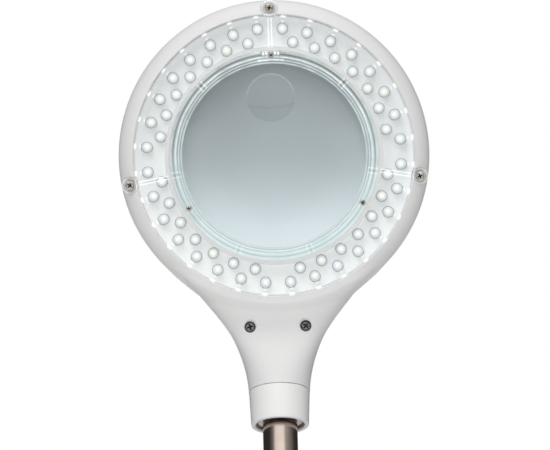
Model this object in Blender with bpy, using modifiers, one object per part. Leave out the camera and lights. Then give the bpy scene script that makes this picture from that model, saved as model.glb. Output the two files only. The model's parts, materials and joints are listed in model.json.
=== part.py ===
"""Magnifying lamp: a lit lens head on a flexible arm and a weighted round base.

Metres, +Z up. The origin is the centre of the base's underside, and the face of the
head looks along -Y. The frame of each group is an empty: "face" has X to the right,
Y up and Z out of the face; "collar" and the gooseneck links have Z up their own axis.
"""

import math

import bmesh
import bpy
from mathutils import Euler, Matrix, Vector

MM = 0.001
GAP = 0.3 * MM  # clearance between pieces that touch
SLACK = 0.1 * MM  # how far joined shapes are kept from sharing a plane
PAST = 3 * MM  # how far a cutter runs past the face that it opens
CASING_STEPS = 32  # sides of the largest round shapes

# Head casing. Depths are measured from the front face, towards the back.
HEAD_RADIUS = 81 * MM
HEAD_DEPTH = 33 * MM
WALL = 2.2 * MM
FRONT_ROUND = (5.5 * MM, 9 * MM)  # width and depth of the front edge's rounding
BACK_ROUND = 9 * MM
PARTING = 17.15 * MM
HEAD_ROLL = math.radians(1.3)  # the head's lean to the left on the arm
COVER_TURN = math.radians(0.6)  # how far the cover and its board sit turned in the casing

# Neck of the casing, from the head down to the swivel seam.
SEAM_DROP = 122 * MM
NECK_TILT = math.radians(21)
NECK_START = 62 * MM
NECK_STRAIGHT_TO = 90 * MM
NECK_DEPTH = 16.3 * MM  # half the neck's depth where it leaves the head
SEAM_RADIUS = 16 * MM
NECK_TAPER = 0.074  # half width gained for each unit of height above the seam
NECK_FLARE = 7.83  # and for its square, per metre
NECK_SCREW = (14.5 * MM, 89 * MM)  # sideways and below the head's centre

# Light ring.
COVER_RADIUS = 73.5 * MM
COVER_HOLE = 54.4 * MM
COVER_THICKNESS = 1.8 * MM
TAB_PLACE = 76.6 * MM
TAB_RADIUS = 4.2 * MM
TAB_ANGLES = [math.radians(a) + COVER_TURN for a in (90, 190, 350)]
FLOOR_DEPTH = 13.2 * MM
FLOOR_THICKNESS = 2 * MM
LENS_OPENING = 48 * MM
WELL_WALL = (54.9 * MM, 56.7 * MM)  # inner and outer radius of the wall round the lens
BOARD = (57.3 * MM, 71.9 * MM, 1.6 * MM)  # inner radius, outer radius, thickness
LED_RADIUS = 2.5 * MM
LED_TIP_DEPTH = 3 * MM
LED_ROWS = ((66.0 * MM, 0.5, ()), (59.9 * MM, 0.0, (0, 8, 16, 24)))  # radius, shift, gaps
LED_PITCH = math.radians(11.25)

# Lens and its retaining ring.
LENS_RADIUS = 50 * MM
LENS_CURVE = 347 * MM
LENS_EDGE = 2.2 * MM
INSERT_RADIUS = 12.5 * MM
INSERT_PLACE = 30.3 * MM
INSERT_RISE = 1.6 * MM
RETAINER_SCREW_PLACE = 52.2 * MM
RETAINER_SCREW_ANGLES = [math.radians(a) + COVER_TURN for a in (90, 210, 330)]

# Back of the head: viewing opening, lid and its hinge.
REAR_OPENING = 57.5 * MM
LID_RADIUS = 64 * MM
LID_RISE = 6.2 * MM
LID_WALL = 2 * MM
HINGE_UP = 68.5 * MM
HINGE_DEPTH = 36.3 * MM
KNUCKLE_RADIUS = 2.8 * MM
KNUCKLE_HALF = 7 * MM
EAR_END = 13 * MM

# Switch in the back of the neck.
BUTTON_DROP = 84 * MM
BUTTON_RADIUS = 5 * MM
BUTTON_TRAVEL = 1.2 * MM

# Collar, ferrules and gooseneck.
TUBE_RADIUS = 9 * MM
STUB_RADIUS = 5.9 * MM
STUB_HOLE = 6.4 * MM
COLLAR_LENGTH = 20 * MM
FERRULE_LENGTH = 62 * MM  # from the seam down to the first flexible joint
LINK_PITCH = 36 * MM
LINK_COUNT = 7
LINK_RADIUS = 8 * MM
BALL_RADIUS = 6.8 * MM
SOCKET_RADIUS = 7.4 * MM  # wide enough that the flats of its facets clear the ball
SHOULDER = 4.2 * MM  # from a ball's centre down to its link's shoulder
BORE = 2.6 * MM
FIRST_JOINT = 72 * MM

# Base.
BASE_RADIUS = 95 * MM
BASE_EDGE = 14 * MM
BASE_TOP = 28 * MM
BASE_HUB = 16 * MM
PAD_RADIUS = 92 * MM
PAD_THICKNESS = 2 * MM
WEIGHT_RADIUS = 84 * MM
WEIGHT_TOP = 15 * MM
BASE_SCREW_PLACE = 60 * MM
INLET_HEIGHT = 9 * MM

COLOURS = {  # base colour, roughness, metallic
    "white_plastic": ((0.83, 0.83, 0.82), 0.35, 0.0),
    "clear_plastic": ((0.80, 0.88, 0.86), 0.05, 0.0),
    "lens_glass": ((0.70, 0.80, 0.82), 0.02, 0.0),
    "led_board": ((0.90, 0.92, 0.92), 0.4, 0.0),
    "circuit_board": ((0.06, 0.25, 0.12), 0.5, 0.0),
    "nickel": ((0.62, 0.58, 0.54), 0.22, 1.0),
    "steel_screw": ((0.55, 0.54, 0.52), 0.3, 1.0),
    "cast_iron": ((0.10, 0.10, 0.11), 0.7, 0.9),
    "brass": ((0.72, 0.55, 0.28), 0.3, 1.0),
    "nylon": ((0.75, 0.74, 0.70), 0.5, 0.0),
    "black_plastic": ((0.03, 0.03, 0.035), 0.45, 0.0),
    "rubber": ((0.04, 0.04, 0.04), 0.85, 0.0),
}


# ---------------------------------------------------------------- scene and helpers


def clear_scene():
    for obj in list(bpy.data.objects):
        bpy.data.objects.remove(obj, do_unlink=True)


def collection(name, hidden=False):
    made = bpy.data.collections.new(name)
    made.hide_render = hidden
    bpy.context.scene.collection.children.link(made)
    return made


def material(name):
    colour, roughness, metallic = COLOURS[name]
    made = bpy.data.materials.get(name) or bpy.data.materials.new(name)
    made.use_nodes = True
    shader = made.node_tree.nodes["Principled BSDF"]
    shader.inputs["Base Color"].default_value = (*colour, 1)
    shader.inputs["Roughness"].default_value = roughness
    shader.inputs["Metallic"].default_value = metallic
    return made


def frame(name, location, rotation=(0, 0, 0), parent=None):
    made = bpy.data.objects.new(name, None)
    made.empty_display_size = 0.01
    made.location = location
    made.rotation_euler = rotation
    made.parent = parent
    PARTS.objects.link(made)
    return made


def solid(name, mesh, look, parent, place=(0, 0, 0), turn=(0, 0, 0)):
    """A visible piece when it has a look, and a hidden cutter when it has none."""
    made = bpy.data.objects.new(name, mesh)
    made.parent = parent
    made.location = place
    made.rotation_euler = turn
    if look:
        mesh.materials.append(material(look))
        PARTS.objects.link(made)
    else:
        made.hide_render = True
        made.display_type = "WIRE"
        CUTTERS.objects.link(made)
    return made


def turned(name, profile, look, parent, steps=24, **placing):
    """A Screw of a profile that runs down its outer side; it closes unless it ends on the axis."""
    mesh = bpy.data.meshes.new(name)
    edges = [(i, i + 1) for i in range(len(profile) - 1)]
    if min(profile[0][0], profile[-1][0]) > 0:
        edges.append((len(profile) - 1, 0))
    mesh.from_pydata([(r, 0, z) for r, z in profile], edges, [])
    made = solid(name, mesh, look, parent, **placing)
    screw = made.modifiers.new("Turn", "SCREW")
    screw.steps = screw.render_steps = steps
    screw.use_merge_vertices = True
    screw.merge_threshold = 0.00001
    screw.use_smooth_shade = True
    return made


def rod(name, radius, low, high, look, parent, sides=10, **placing):
    """A cylinder, or a prism with few sides, along its own Z from low to high."""
    mesh = bpy.data.meshes.new(name)
    shape = bmesh.new()
    bmesh.ops.create_cone(
        shape, cap_ends=True, segments=sides, radius1=radius, radius2=radius,
        depth=high - low, matrix=Matrix.Translation((0, 0, (low + high) / 2)),
    )
    shape.to_mesh(mesh)
    shape.free()
    return solid(name, mesh, look, parent, **placing)


def block(name, low, high, look, parent, **placing):
    """A box between two corners."""
    low, high = Vector(low), Vector(high)
    mesh = bpy.data.meshes.new(name)
    shape = bmesh.new()
    size = Matrix.Diagonal((*(high - low), 1))
    bmesh.ops.create_cube(shape, size=1, matrix=Matrix.Translation((low + high) / 2) @ size)
    shape.to_mesh(mesh)
    shape.free()
    return solid(name, mesh, look, parent, **placing)


def combine(target, other, operation):
    made = target.modifiers.new(other.name, "BOOLEAN")
    made.operation = operation
    made.object = other


def cut(target, *others):
    for other in others:
        combine(target, other, "DIFFERENCE")


def join(target, *others):
    for other in others:
        combine(target, other, "UNION")


def by_manifold(made):
    """The other solver, for a shape with so many cuts that the exact one leaves doubled edges."""
    for modifier in made.modifiers:
        if modifier.type == "BOOLEAN":
            modifier.solver = "MANIFOLD"
    return made


def arc(centre, radii, start, end, count):
    """Points on an ellipse's arc, from one angle to another in degrees."""
    points = []
    for i in range(count + 1):
        angle = math.radians(start + (end - start) * i / count)
        points.append((centre[0] + radii[0] * math.cos(angle), centre[1] + radii[1] * math.sin(angle)))
    return points


def on_ring(radius, angle, depth=0.0):
    return (radius * math.cos(angle), radius * math.sin(angle), -depth)


# ---------------------------------------------------------------- head casing


def disc_profile(inset):
    """The head's disc, or the hollow inside it when inset is the wall."""
    front, depth = FRONT_ROUND
    edge = HEAD_RADIUS - front
    back = HEAD_RADIUS - BACK_ROUND
    return [
        (0, -inset),
        *arc((edge, -depth), (front - inset, depth - inset), 90, 0, 4),
        *arc((back, -HEAD_DEPTH + BACK_ROUND), (BACK_ROUND - inset, BACK_ROUND - inset), 0, -90, 3),
        (0, -HEAD_DEPTH + inset),
    ]


def neck_bend():
    """Radius of the arc that bends the neck's centreline forward."""
    return (SEAM_DROP - NECK_STRAIGHT_TO) / math.sin(NECK_TILT)


def seam_depth():
    return HEAD_DEPTH / 2 - neck_bend() * (1 - math.cos(NECK_TILT))


def neck_section(along, inset, sides=24):
    """One cross-section of the neck: along is its distance down the centreline."""
    straight = NECK_STRAIGHT_TO - NECK_START
    bend = neck_bend()
    length = straight + bend * NECK_TILT
    tilt = min(max(0, along - straight) / bend, NECK_TILT)
    extra = max(0, along - length)
    drop = NECK_START + min(along, straight) + bend * math.sin(tilt) + extra * math.cos(tilt)
    out = -HEAD_DEPTH / 2 + bend * (1 - math.cos(tilt)) + extra * math.sin(tilt)
    share = min(1, along / length)
    height = max(0, SEAM_DROP - drop)
    half_width = SEAM_RADIUS + NECK_TAPER * height + NECK_FLARE * height**2 - inset
    half_depth = NECK_DEPTH + (SEAM_RADIUS - NECK_DEPTH) * share - inset
    squareness = 2 / (5 - 3 * share)
    points = []
    for i in range(sides):
        angle = math.tau * i / sides
        c, s = math.cos(angle), math.sin(angle)
        across = math.copysign(abs(c) ** squareness, c) * half_width
        outward = math.copysign(abs(s) ** squareness, s) * half_depth
        points.append((across, -drop + outward * math.sin(tilt), out + outward * math.cos(tilt)))
    return points


def neck_loft(name, inset, parent, stations=9):
    """The neck, lofted from a flat oblong at the head to a circle at the seam."""
    length = NECK_STRAIGHT_TO - NECK_START + neck_bend() * NECK_TILT
    places = [length * i / (stations - 1) for i in range(stations)]
    if inset:
        places.append(length + PAST)
    mesh = bpy.data.meshes.new(name)
    shape = bmesh.new()
    rings = [[shape.verts.new(p) for p in neck_section(a, inset)] for a in places]
    for upper, lower in zip(rings, rings[1:]):
        for i in range(len(upper)):
            j = (i + 1) % len(upper)
            shape.faces.new((upper[i], upper[j], lower[j], lower[i]))
    shape.faces.new(rings[0])
    shape.faces.new(rings[-1])
    bmesh.ops.recalc_face_normals(shape, faces=shape.faces)
    shape.to_mesh(mesh)
    shape.free()
    return solid(name, mesh, None, parent)


def casing_half(name, face, outer, hollows, keep_front):
    """One shell of the casing: the outer shape, hollowed, and cut off at the parting plane."""
    made = turned(name, disc_profile(0), "white_plastic", face, steps=CASING_STEPS)
    far = 2 * HEAD_RADIUS + SEAM_DROP
    low = (-far, -far, -far) if keep_front else (-far, -far, -PARTING - GAP / 2)
    high = (far, far, -PARTING + GAP / 2) if keep_front else (far, far, far)
    join(made, outer)
    cut(made, *hollows, block(name + "_half", low, high, None, face))
    return made


def front_housing(face, outer, hollows):
    made = casing_half("front_housing", face, outer, hollows, True)
    seat = COVER_THICKNESS + GAP
    wide = HEAD_RADIUS - WALL + 0.7 * MM
    shelf = COVER_RADIUS - 1.2 * MM
    shelf_ring = [(wide, -seat), (wide, -seat - 2 * MM), (shelf, -seat - 2 * MM), (shelf, -seat)]
    floor = FLOOR_DEPTH + FLOOR_THICKNESS
    inner, outer_wall = WELL_WALL
    floor_ring = [
        (outer_wall, -seat), (outer_wall, -FLOOR_DEPTH), (wide, -FLOOR_DEPTH), (wide, -floor),
        (LENS_OPENING, -floor), (LENS_OPENING, -FLOOR_DEPTH), (inner, -FLOOR_DEPTH), (inner, -seat),
    ]
    recess = rod("cover_recess", COVER_RADIUS + GAP, -WALL - PAST, PAST, None, face, sides=CASING_STEPS)
    cut(made, recess)
    join(made, turned("shelf_ring", shelf_ring, None, face, steps=CASING_STEPS))
    join(made, turned("floor_ring", floor_ring, None, face, steps=CASING_STEPS))
    for i, angle in enumerate(TAB_ANGLES, 1):
        place = on_ring(TAB_PLACE, angle)
        end = -FLOOR_DEPTH - SLACK
        low = -seat - SLACK
        pocket = rod(f"tab_pocket_{i}", TAB_RADIUS + GAP, low, PAST, None, face, place=place)
        boss = rod(f"tab_boss_{i}", TAB_RADIUS + SLACK, end, -seat, None, face, place=place)
        hole = rod(f"tab_hole_{i}", 1.5 * MM, end + 1 * MM, PAST, None, face, sides=6, place=place)
        cut(made, pocket)
        join(made, boss)
        cut(made, hole)
    for i, angle in enumerate(RETAINER_SCREW_ANGLES, 1):
        place = on_ring(RETAINER_SCREW_PLACE, angle)
        low = -floor - PAST
        cut(made, rod(f"seat_hole_{i}", 1.3 * MM, low, 0, None, face, sides=6, place=place))
    across, drop = NECK_SCREW
    for i, side in enumerate((-1, 1), 1):
        place = (side * across, -drop, 0)
        post_low = -PARTING + GAP
        post = rod(f"front_post_{i}", 4.5 * MM, post_low, -1 * MM, None, face, place=place)
        sink = rod(f"screw_sink_{i}", 3 * MM, -6 * MM, PAST, None, face, place=place)
        hole = rod(f"front_hole_{i}", 1.6 * MM, -PARTING - PAST, 0, None, face, sides=6, place=place)
        join(made, post)
        cut(made, sink, hole)
    lead_way = (10 * MM, -66 * MM, 0)
    cut(made, rod("lead_hole", 1.6 * MM, -floor - PAST, 0, None, face, sides=6, place=lead_way))
    return by_manifold(made)


def rear_housing(face, outer, hollows):
    made = casing_half("rear_housing", face, outer, hollows, False)
    tube_low = -HEAD_DEPTH + 1 * MM
    tube_high = -FLOOR_DEPTH - FLOOR_THICKNESS - GAP
    rim = REAR_OPENING + 2 * MM
    inside = REAR_OPENING - 0.5 * MM
    tube = [(rim, tube_high), (rim, tube_low), (inside, tube_low), (inside, tube_high)]
    join(made, turned("opening_wall", tube, None, face, steps=CASING_STEPS))
    opening = rod("rear_opening", REAR_OPENING, -HEAD_DEPTH - PAST, PAST, None, face, sides=CASING_STEPS)
    cut(made, opening)
    across, drop = NECK_SCREW
    for i, side in enumerate((-1, 1), 1):
        place = (side * across, -drop, 0)
        low, high = -HEAD_DEPTH + 1 * MM, -PARTING - GAP
        join(made, rod(f"rear_post_{i}", 4 * MM, low, high, None, face, place=place))
        cut(made, rod(f"rear_hole_{i}", 1.6 * MM, -28 * MM, 0, None, face, sides=6, place=place))
    ear_start = KNUCKLE_HALF + GAP
    for i, side in enumerate((-1, 1), 1):
        ends = sorted((side * ear_start, side * EAR_END))
        foot_low = (ends[0], HINGE_UP - KNUCKLE_RADIUS, -HINGE_DEPTH)
        foot_high = (ends[1], HINGE_UP + KNUCKLE_RADIUS, -HEAD_DEPTH + 1 * MM)
        join(made, block(f"ear_foot_{i}", foot_low, foot_high, None, face))
        join(made, rod(f"ear_{i}", KNUCKLE_RADIUS + SLACK, ends[0], ends[1], None, face,
                       place=(0, HINGE_UP, -HINGE_DEPTH), turn=(0, math.pi / 2, 0)))
    pin_way = rod("ear_bore", 1.5 * MM, -EAR_END - PAST, EAR_END + PAST, None, face, sides=8,
                  place=(0, HINGE_UP, -HINGE_DEPTH), turn=(0, math.pi / 2, 0))
    button_hole = rod("button_hole", BUTTON_RADIUS + GAP, -HEAD_DEPTH - PAST, -HEAD_DEPTH + 2 * PAST,
                      None, face, sides=24, place=(0, -BUTTON_DROP, 0))
    cut(made, pin_way, button_hole)
    return by_manifold(made)


# ---------------------------------------------------------------- light ring and lens


def led_cover(face):
    bead = COVER_HOLE + 1.8 * MM
    ring = [
        (bead, 0.5 * MM), (bead + 0.8 * MM, 0), (COVER_RADIUS - 0.5 * MM, 0),
        (COVER_RADIUS, -0.5 * MM), (COVER_RADIUS, -COVER_THICKNESS),
        (COVER_HOLE, -COVER_THICKNESS), (COVER_HOLE, 0.3 * MM),
    ]
    made = turned("led_cover", ring, "clear_plastic", face, steps=CASING_STEPS)
    for i, angle in enumerate(TAB_ANGLES, 1):
        place = on_ring(TAB_PLACE, angle)
        low, high = -COVER_THICKNESS + SLACK, -SLACK
        join(made, rod(f"tab_{i}", TAB_RADIUS, low, high, None, face, place=place))
        cut(made, rod(f"tab_bore_{i}", 1.5 * MM, -PAST, PAST, None, face, sides=6, place=place))
    return made


def led_board(face):
    """The ring-shaped board with its two rows of LEDs, all one soldered piece."""
    inner, outer, thickness = BOARD
    back = -FLOOR_DEPTH + GAP
    front = back + thickness
    ring = [(outer, front), (outer, back), (inner, back), (inner, front)]
    made = turned("led_board", ring, "led_board", face, steps=32)
    mesh = bpy.data.meshes.new("leds")
    shape = bmesh.new()
    low, high = front - 0.5 * MM, -LED_TIP_DEPTH
    for radius, shift, gaps in LED_ROWS:
        for k in range(32):
            if k in gaps:
                continue
            x, y, _ = on_ring(radius, COVER_TURN + (k + shift) * LED_PITCH)
            middle = Matrix.Translation((x, y, (low + high) / 2))
            bmesh.ops.create_cone(shape, cap_ends=True, segments=6, radius1=LED_RADIUS,
                                  radius2=0.7 * LED_RADIUS, depth=high - low, matrix=middle)
    shape.to_mesh(mesh)
    shape.free()
    join(made, solid("leds", mesh, None, face))
    return made


def lens_face(radius):
    """How far a lens surface falls away at this radius."""
    return radius**2 / (2 * LENS_CURVE)


def lens(face):
    back_edge = -FLOOR_DEPTH + GAP
    front_edge = back_edge + LENS_EDGE
    bulge = lens_face(LENS_RADIUS)
    radii = [LENS_RADIUS * i / 3 for i in range(4)]
    front = [(r, front_edge + bulge - lens_face(r)) for r in radii]
    back = [(r, back_edge - bulge + lens_face(r)) for r in reversed(radii)]
    made = turned("lens", front + back, "lens_glass", face, steps=32)
    insert = [(0, INSERT_RISE)]
    insert += [(INSERT_RADIUS * i / 3, INSERT_RISE * (1 - (i / 3) ** 2)) for i in range(1, 4)]
    insert += [(INSERT_RADIUS, -1.5 * MM), (0, -1.5 * MM)]
    height = front_edge + bulge - lens_face(INSERT_PLACE) - GAP
    join(made, turned("insert", insert, None, face, steps=16, place=(0, INSERT_PLACE, height),
                      turn=(-INSERT_PLACE / LENS_CURVE, 0, 0)))
    return made


def lens_retainer(face):
    """A clear ring with three steps that holds the lens down by its edge."""
    outer = WELL_WALL[0] - GAP
    inner = LENS_OPENING - 0.1 * MM
    clear = LENS_RADIUS + GAP
    foot = -FLOOR_DEPTH + GAP
    press = foot + LENS_EDGE + 2 * GAP
    steps = (-3.0 * MM, -5.6 * MM, -8.2 * MM)
    ring = [
        (outer, steps[0]), (outer, foot), (clear, foot), (clear, press), (inner, press),
        (inner, steps[2]), (inner + 1.7 * MM, steps[2]), (inner + 1.7 * MM, steps[1]),
        (inner + 3.5 * MM, steps[1]), (inner + 3.5 * MM, steps[0]),
    ]
    made = turned("lens_retainer", ring, "clear_plastic", face, steps=32)
    for i, angle in enumerate(RETAINER_SCREW_ANGLES, 1):
        place = on_ring(RETAINER_SCREW_PLACE, angle)
        bore = rod(f"retainer_bore_{i}", 1.3 * MM, -FLOOR_DEPTH, 0, None, face, sides=6, place=place)
        cut(made, bore)
    return made


def screw(name, head_radius, head_height, shank_radius, length, look, parent, **placing):
    """A pan-head screw whose head sits on Z = 0, with its shank below."""
    profile = [
        (0, head_height), (0.8 * head_radius, 0.8 * head_height), (head_radius, 0.4 * head_height),
        (head_radius, 0), (shank_radius, 0), (shank_radius, 1 * MM - length), (0, -length),
    ]
    return turned(name, profile, look, parent, steps=8, **placing)


def head_screws(face):
    for i, angle in enumerate(TAB_ANGLES, 1):
        screw(f"cover_screw_{i}", 2.3 * MM, 1.3 * MM, 1.2 * MM, 12 * MM, "steel_screw", face,
              place=on_ring(TAB_PLACE, angle, -GAP))
    for i, angle in enumerate(RETAINER_SCREW_ANGLES, 1):
        screw(f"retainer_screw_{i}", 1.8 * MM, 1.2 * MM, 1 * MM, 12 * MM, "steel_screw", face,
              place=on_ring(RETAINER_SCREW_PLACE, angle, 2.7 * MM))
    across, drop = NECK_SCREW
    for i, side in enumerate((-1, 1), 1):
        screw(f"neck_screw_{i}", 2.6 * MM, 1.5 * MM, 1.3 * MM, 20 * MM, "steel_screw", face,
              place=(side * across, -drop, -5.7 * MM))


# ---------------------------------------------------------------- lid, switch, electronics


def lens_lid(hinge):
    """The domed lid behind the lens, in the frame of its hinge pin."""
    rim = HINGE_DEPTH - HEAD_DEPTH - GAP
    crown = rim - LID_RISE
    edge = 4 * MM
    side = LID_RADIUS - edge
    inner = LID_RADIUS - LID_WALL
    shell = [
        (0, crown + LID_WALL), (side - 2 * MM, rim - 2.4 * MM), (inner - 1 * MM, rim - 1 * MM),
        (inner, rim), (LID_RADIUS, rim), (LID_RADIUS, rim - 1 * MM),
        *arc((side, rim - 1 * MM), (edge, 2.4 * MM), 0, -90, 3)[1:], (0, crown),
    ]
    centre = (0, -HINGE_UP, 0)
    made = turned("lens_lid", shell, "white_plastic", hinge, steps=32, place=centre)
    across = {"turn": (0, math.pi / 2, 0), "place": (0, 0, 0)}
    knuckle = rod("lid_knuckle", KNUCKLE_RADIUS, -KNUCKLE_HALF, KNUCKLE_HALF, None, hinge, **across)
    reach = HINGE_UP - LID_RADIUS + 2.5 * MM
    tongue = block("lid_tongue", (-KNUCKLE_HALF + SLACK, -reach, -1.3 * MM),
                   (KNUCKLE_HALF - SLACK, 0, 1.3 * MM), None, hinge)
    foot = -HINGE_UP - LID_RADIUS
    grip = block("lid_grip", (-8 * MM, foot - 3 * MM, rim - 2.2 * MM),
                 (8 * MM, foot + 1.5 * MM, rim - SLACK), None, hinge)
    bore = rod("lid_bore", 1.5 * MM, -EAR_END, EAR_END, None, hinge, sides=8, **across)
    join(made, tongue, knuckle, grip)
    cut(made, bore)
    rod("hinge_pin", 1.2 * MM, -EAR_END - 0.5 * MM, EAR_END + 0.5 * MM, "steel_screw", hinge,
        sides=8, turn=(0, math.pi / 2, 0))
    return made


def switch(face):
    """Push button in the back of the neck, with the switch that it works."""
    back = -HEAD_DEPTH
    low, flange, seat = back - 1.5 * MM, back + 4.5 * MM, back + 6 * MM
    wide = BUTTON_RADIUS + 1.2 * MM
    cap = [
        (0, seat), (wide, seat), (wide, flange), (BUTTON_RADIUS, flange),
        (BUTTON_RADIUS, low + 0.6 * MM), (BUTTON_RADIUS - 0.6 * MM, low), (0, low),
    ]
    turned("switch_button", cap, "black_plastic", face, steps=16, place=(0, -BUTTON_DROP, 0))
    rest = seat + BUTTON_TRAVEL + GAP
    half = 6 * MM
    block("switch_body", (-half, -half, rest), (half, half, rest + 4.2 * MM), "black_plastic", face,
          place=(0, -BUTTON_DROP, 0))


def driver_board(face):
    """The circuit board in the neck, with its three largest components."""
    front, back = -18.6 * MM, -20.2 * MM
    made = block("driver_board", (-9.5 * MM, -106 * MM, back), (9.5 * MM, -71 * MM, front),
                 "circuit_board", face)
    coil = block("coil", (-7 * MM, -102 * MM, back - 4 * MM), (1 * MM, -94 * MM, back + SLACK),
                 None, face)
    chip = block("chip", (-3 * MM, -87 * MM, front - SLACK), (3 * MM, -81 * MM, front + 1.2 * MM),
                 None, face)
    store = rod("capacitor", 2.5 * MM, front - SLACK, front + 3.5 * MM, None, face, sides=8,
                place=(5 * MM, -98 * MM, 0))
    join(made, coil, chip, store)


def led_lead(face):
    """The short lead from the driver board to the light ring, through the floor's hole."""
    curve = bpy.data.curves.new("led_lead", "CURVE")
    curve.dimensions = "3D"
    curve.bevel_depth = 0.8 * MM
    curve.bevel_resolution = 2
    curve.use_fill_caps = True
    route = [(10, -66, -13.4), (10, -66, -16), (9, -67.5, -17), (7.5, -71.5, -17.2),
             (6, -74, -17.4), (6, -77, -17.4)]
    spline = curve.splines.new("POLY")
    spline.points.add(len(route) - 1)
    for point, place in zip(spline.points, route):
        point.co = (*(Vector(place) * MM), 1)
    curve.materials.append(material("black_plastic"))
    made = bpy.data.objects.new("led_lead", curve)
    made.parent = face
    PARTS.objects.link(made)


# ---------------------------------------------------------------- collar and ferrule


def seam_bush(collar):
    ring = [(13.4 * MM, 4.3 * MM), (13.4 * MM, GAP), (STUB_HOLE, GAP), (STUB_HOLE, 4.3 * MM)]
    turned("swivel_bush", ring, "nylon", collar, steps=16)


def collar_pieces(collar):
    top, low, web = -GAP, -COLLAR_LENGTH, -3.2 * MM
    inner = 12.7 * MM
    sleeve = [
        (15.8 * MM, top), (15 * MM, low), (inner, low), (inner, web), (STUB_HOLE, web),
        (STUB_HOLE, top),
    ]
    turned("neck_collar", sleeve, "white_plastic", collar, steps=24)
    cup_radius = inner - GAP
    cup_wall = 0.8 * MM
    cup_top = web - GAP
    cup_low = low + 0.8 * MM
    cup = [
        (cup_radius, cup_top), (cup_radius, cup_low), (cup_radius - cup_wall, cup_low),
        (cup_radius - cup_wall, cup_top - cup_wall), (STUB_HOLE, cup_top - cup_wall),
        (STUB_HOLE, cup_top),
    ]
    socket = turned("socket_cup", cup, "nickel", collar, steps=20)
    grub = {"place": (0, 0, -16 * MM), "turn": (math.pi / 2, 0, math.radians(19))}
    cut(socket, rod("grub_way", 1.8 * MM, TUBE_RADIUS, inner + PAST, None, collar, **grub))
    rod("set_screw", 1.5 * MM, TUBE_RADIUS + GAP, cup_radius, "steel_screw", collar, sides=8, **grub)
    shoulder = cup_top - cup_wall - GAP
    stub_top = 13 * MM
    joint = -FERRULE_LENGTH
    ferrule = [
        (STUB_RADIUS, stub_top), (STUB_RADIUS, shoulder), (TUBE_RADIUS - 0.5 * MM, shoulder),
        (TUBE_RADIUS, shoulder - 0.5 * MM), (TUBE_RADIUS, joint + 3 * MM), (LINK_RADIUS, joint),
        *socket_arc(joint), (BORE, stub_top),
    ]
    turned("upper_ferrule", ferrule, "nickel", collar, steps=16)
    hole = STUB_RADIUS + GAP
    washer = [(10.5 * MM, 5.6 * MM), (10.5 * MM, 4.6 * MM), (hole, 4.6 * MM), (hole, 5.6 * MM)]
    turned("swivel_washer", washer, "steel_screw", collar, steps=12)
    nut = rod("retaining_nut", 9.2 * MM, 5.9 * MM, 10.4 * MM, "brass", collar, sides=6)
    cut(nut, rod("nut_bore", hole, 0, stub_top, None, collar))


# ---------------------------------------------------------------- gooseneck


def socket_arc(joint):
    """The inside of a socket, from its rim up to the bore."""
    end = math.degrees(math.acos(BORE / SOCKET_RADIUS))
    return arc((0, joint), (SOCKET_RADIUS, SOCKET_RADIUS), 0, end, 3)


def ball_arc(joint):
    """The outside of a ball, from the bore down to its link's shoulder."""
    start = math.degrees(math.acos(BORE / BALL_RADIUS))
    end = -math.degrees(math.asin(SHOULDER / BALL_RADIUS))
    return arc((0, joint), (BALL_RADIUS, BALL_RADIUS), start, end, 4)


def link_tilt(number):
    """Lean of a gooseneck piece from upright: 0 is the base's ferrule."""
    return NECK_TILT * number / (LINK_COUNT + 1)


def joint_places():
    """The centres of the gooseneck's joints, from the base up."""
    places = [Vector((0, 0, FIRST_JOINT))]
    for number in range(1, LINK_COUNT + 1):
        tilt = link_tilt(number)
        places.append(places[-1] + LINK_PITCH * Vector((0, math.sin(tilt), math.cos(tilt))))
    return places


def gooseneck(places):
    """The flexible arm's links, each a ball at the top and a socket at the bottom."""
    shoulder = LINK_PITCH - SHOULDER
    edge = 0.6 * MM
    profile = [
        *ball_arc(LINK_PITCH), (LINK_RADIUS - edge, shoulder), (LINK_RADIUS, shoulder - edge),
        (LINK_RADIUS, 0), *socket_arc(0),
    ]
    for number in range(1, LINK_COUNT + 1):
        joint = frame(f"joint_{number}", places[number - 1], (-link_tilt(number), 0, 0))
        turned(f"gooseneck_link_{number}", profile, "nickel", joint, steps=12)


# ---------------------------------------------------------------- base


def base_profile(inset):
    """Outer side of the base cover, from its hub to its foot."""
    round_radius = 9 * MM
    centre = (BASE_RADIUS - round_radius, BASE_EDGE)
    turn = arc(centre, (round_radius - inset, 7 * MM - inset), 80, 0, 3)
    return [(BASE_HUB, BASE_TOP - inset), *turn, (BASE_RADIUS - inset, PAD_THICKNESS + GAP)]


def base_cover(base):
    wall = 2.5 * MM
    inner = list(reversed(base_profile(wall)))
    profile = [*base_profile(0), *inner, (STUB_HOLE, BASE_TOP - wall), (STUB_HOLE, BASE_TOP)]
    made = turned("base_cover", profile, "white_plastic", base, steps=CASING_STEPS)
    boss_low = WEIGHT_TOP + GAP
    for i, place in enumerate(base_screw_places(), 1):
        join(made, rod(f"base_boss_{i}", 4.5 * MM, boss_low, BASE_EDGE + 7 * MM, None, base, place=place))
        cut(made, rod(f"base_hole_{i}", 1.8 * MM, 0, BASE_EDGE + 5 * MM, None, base, sides=6, place=place))
    way = {"place": (0, 0, INLET_HEIGHT), "turn": (-math.pi / 2, 0, 0)}
    cut(made, rod("inlet_way", 3.9 * MM, BASE_RADIUS - 15 * MM, BASE_RADIUS + PAST, None, base, **way))


def base_screw_places():
    angles = [math.radians(45 + 90 * i) for i in range(4)]
    return [on_ring(BASE_SCREW_PLACE, angle) for angle in angles]


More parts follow.
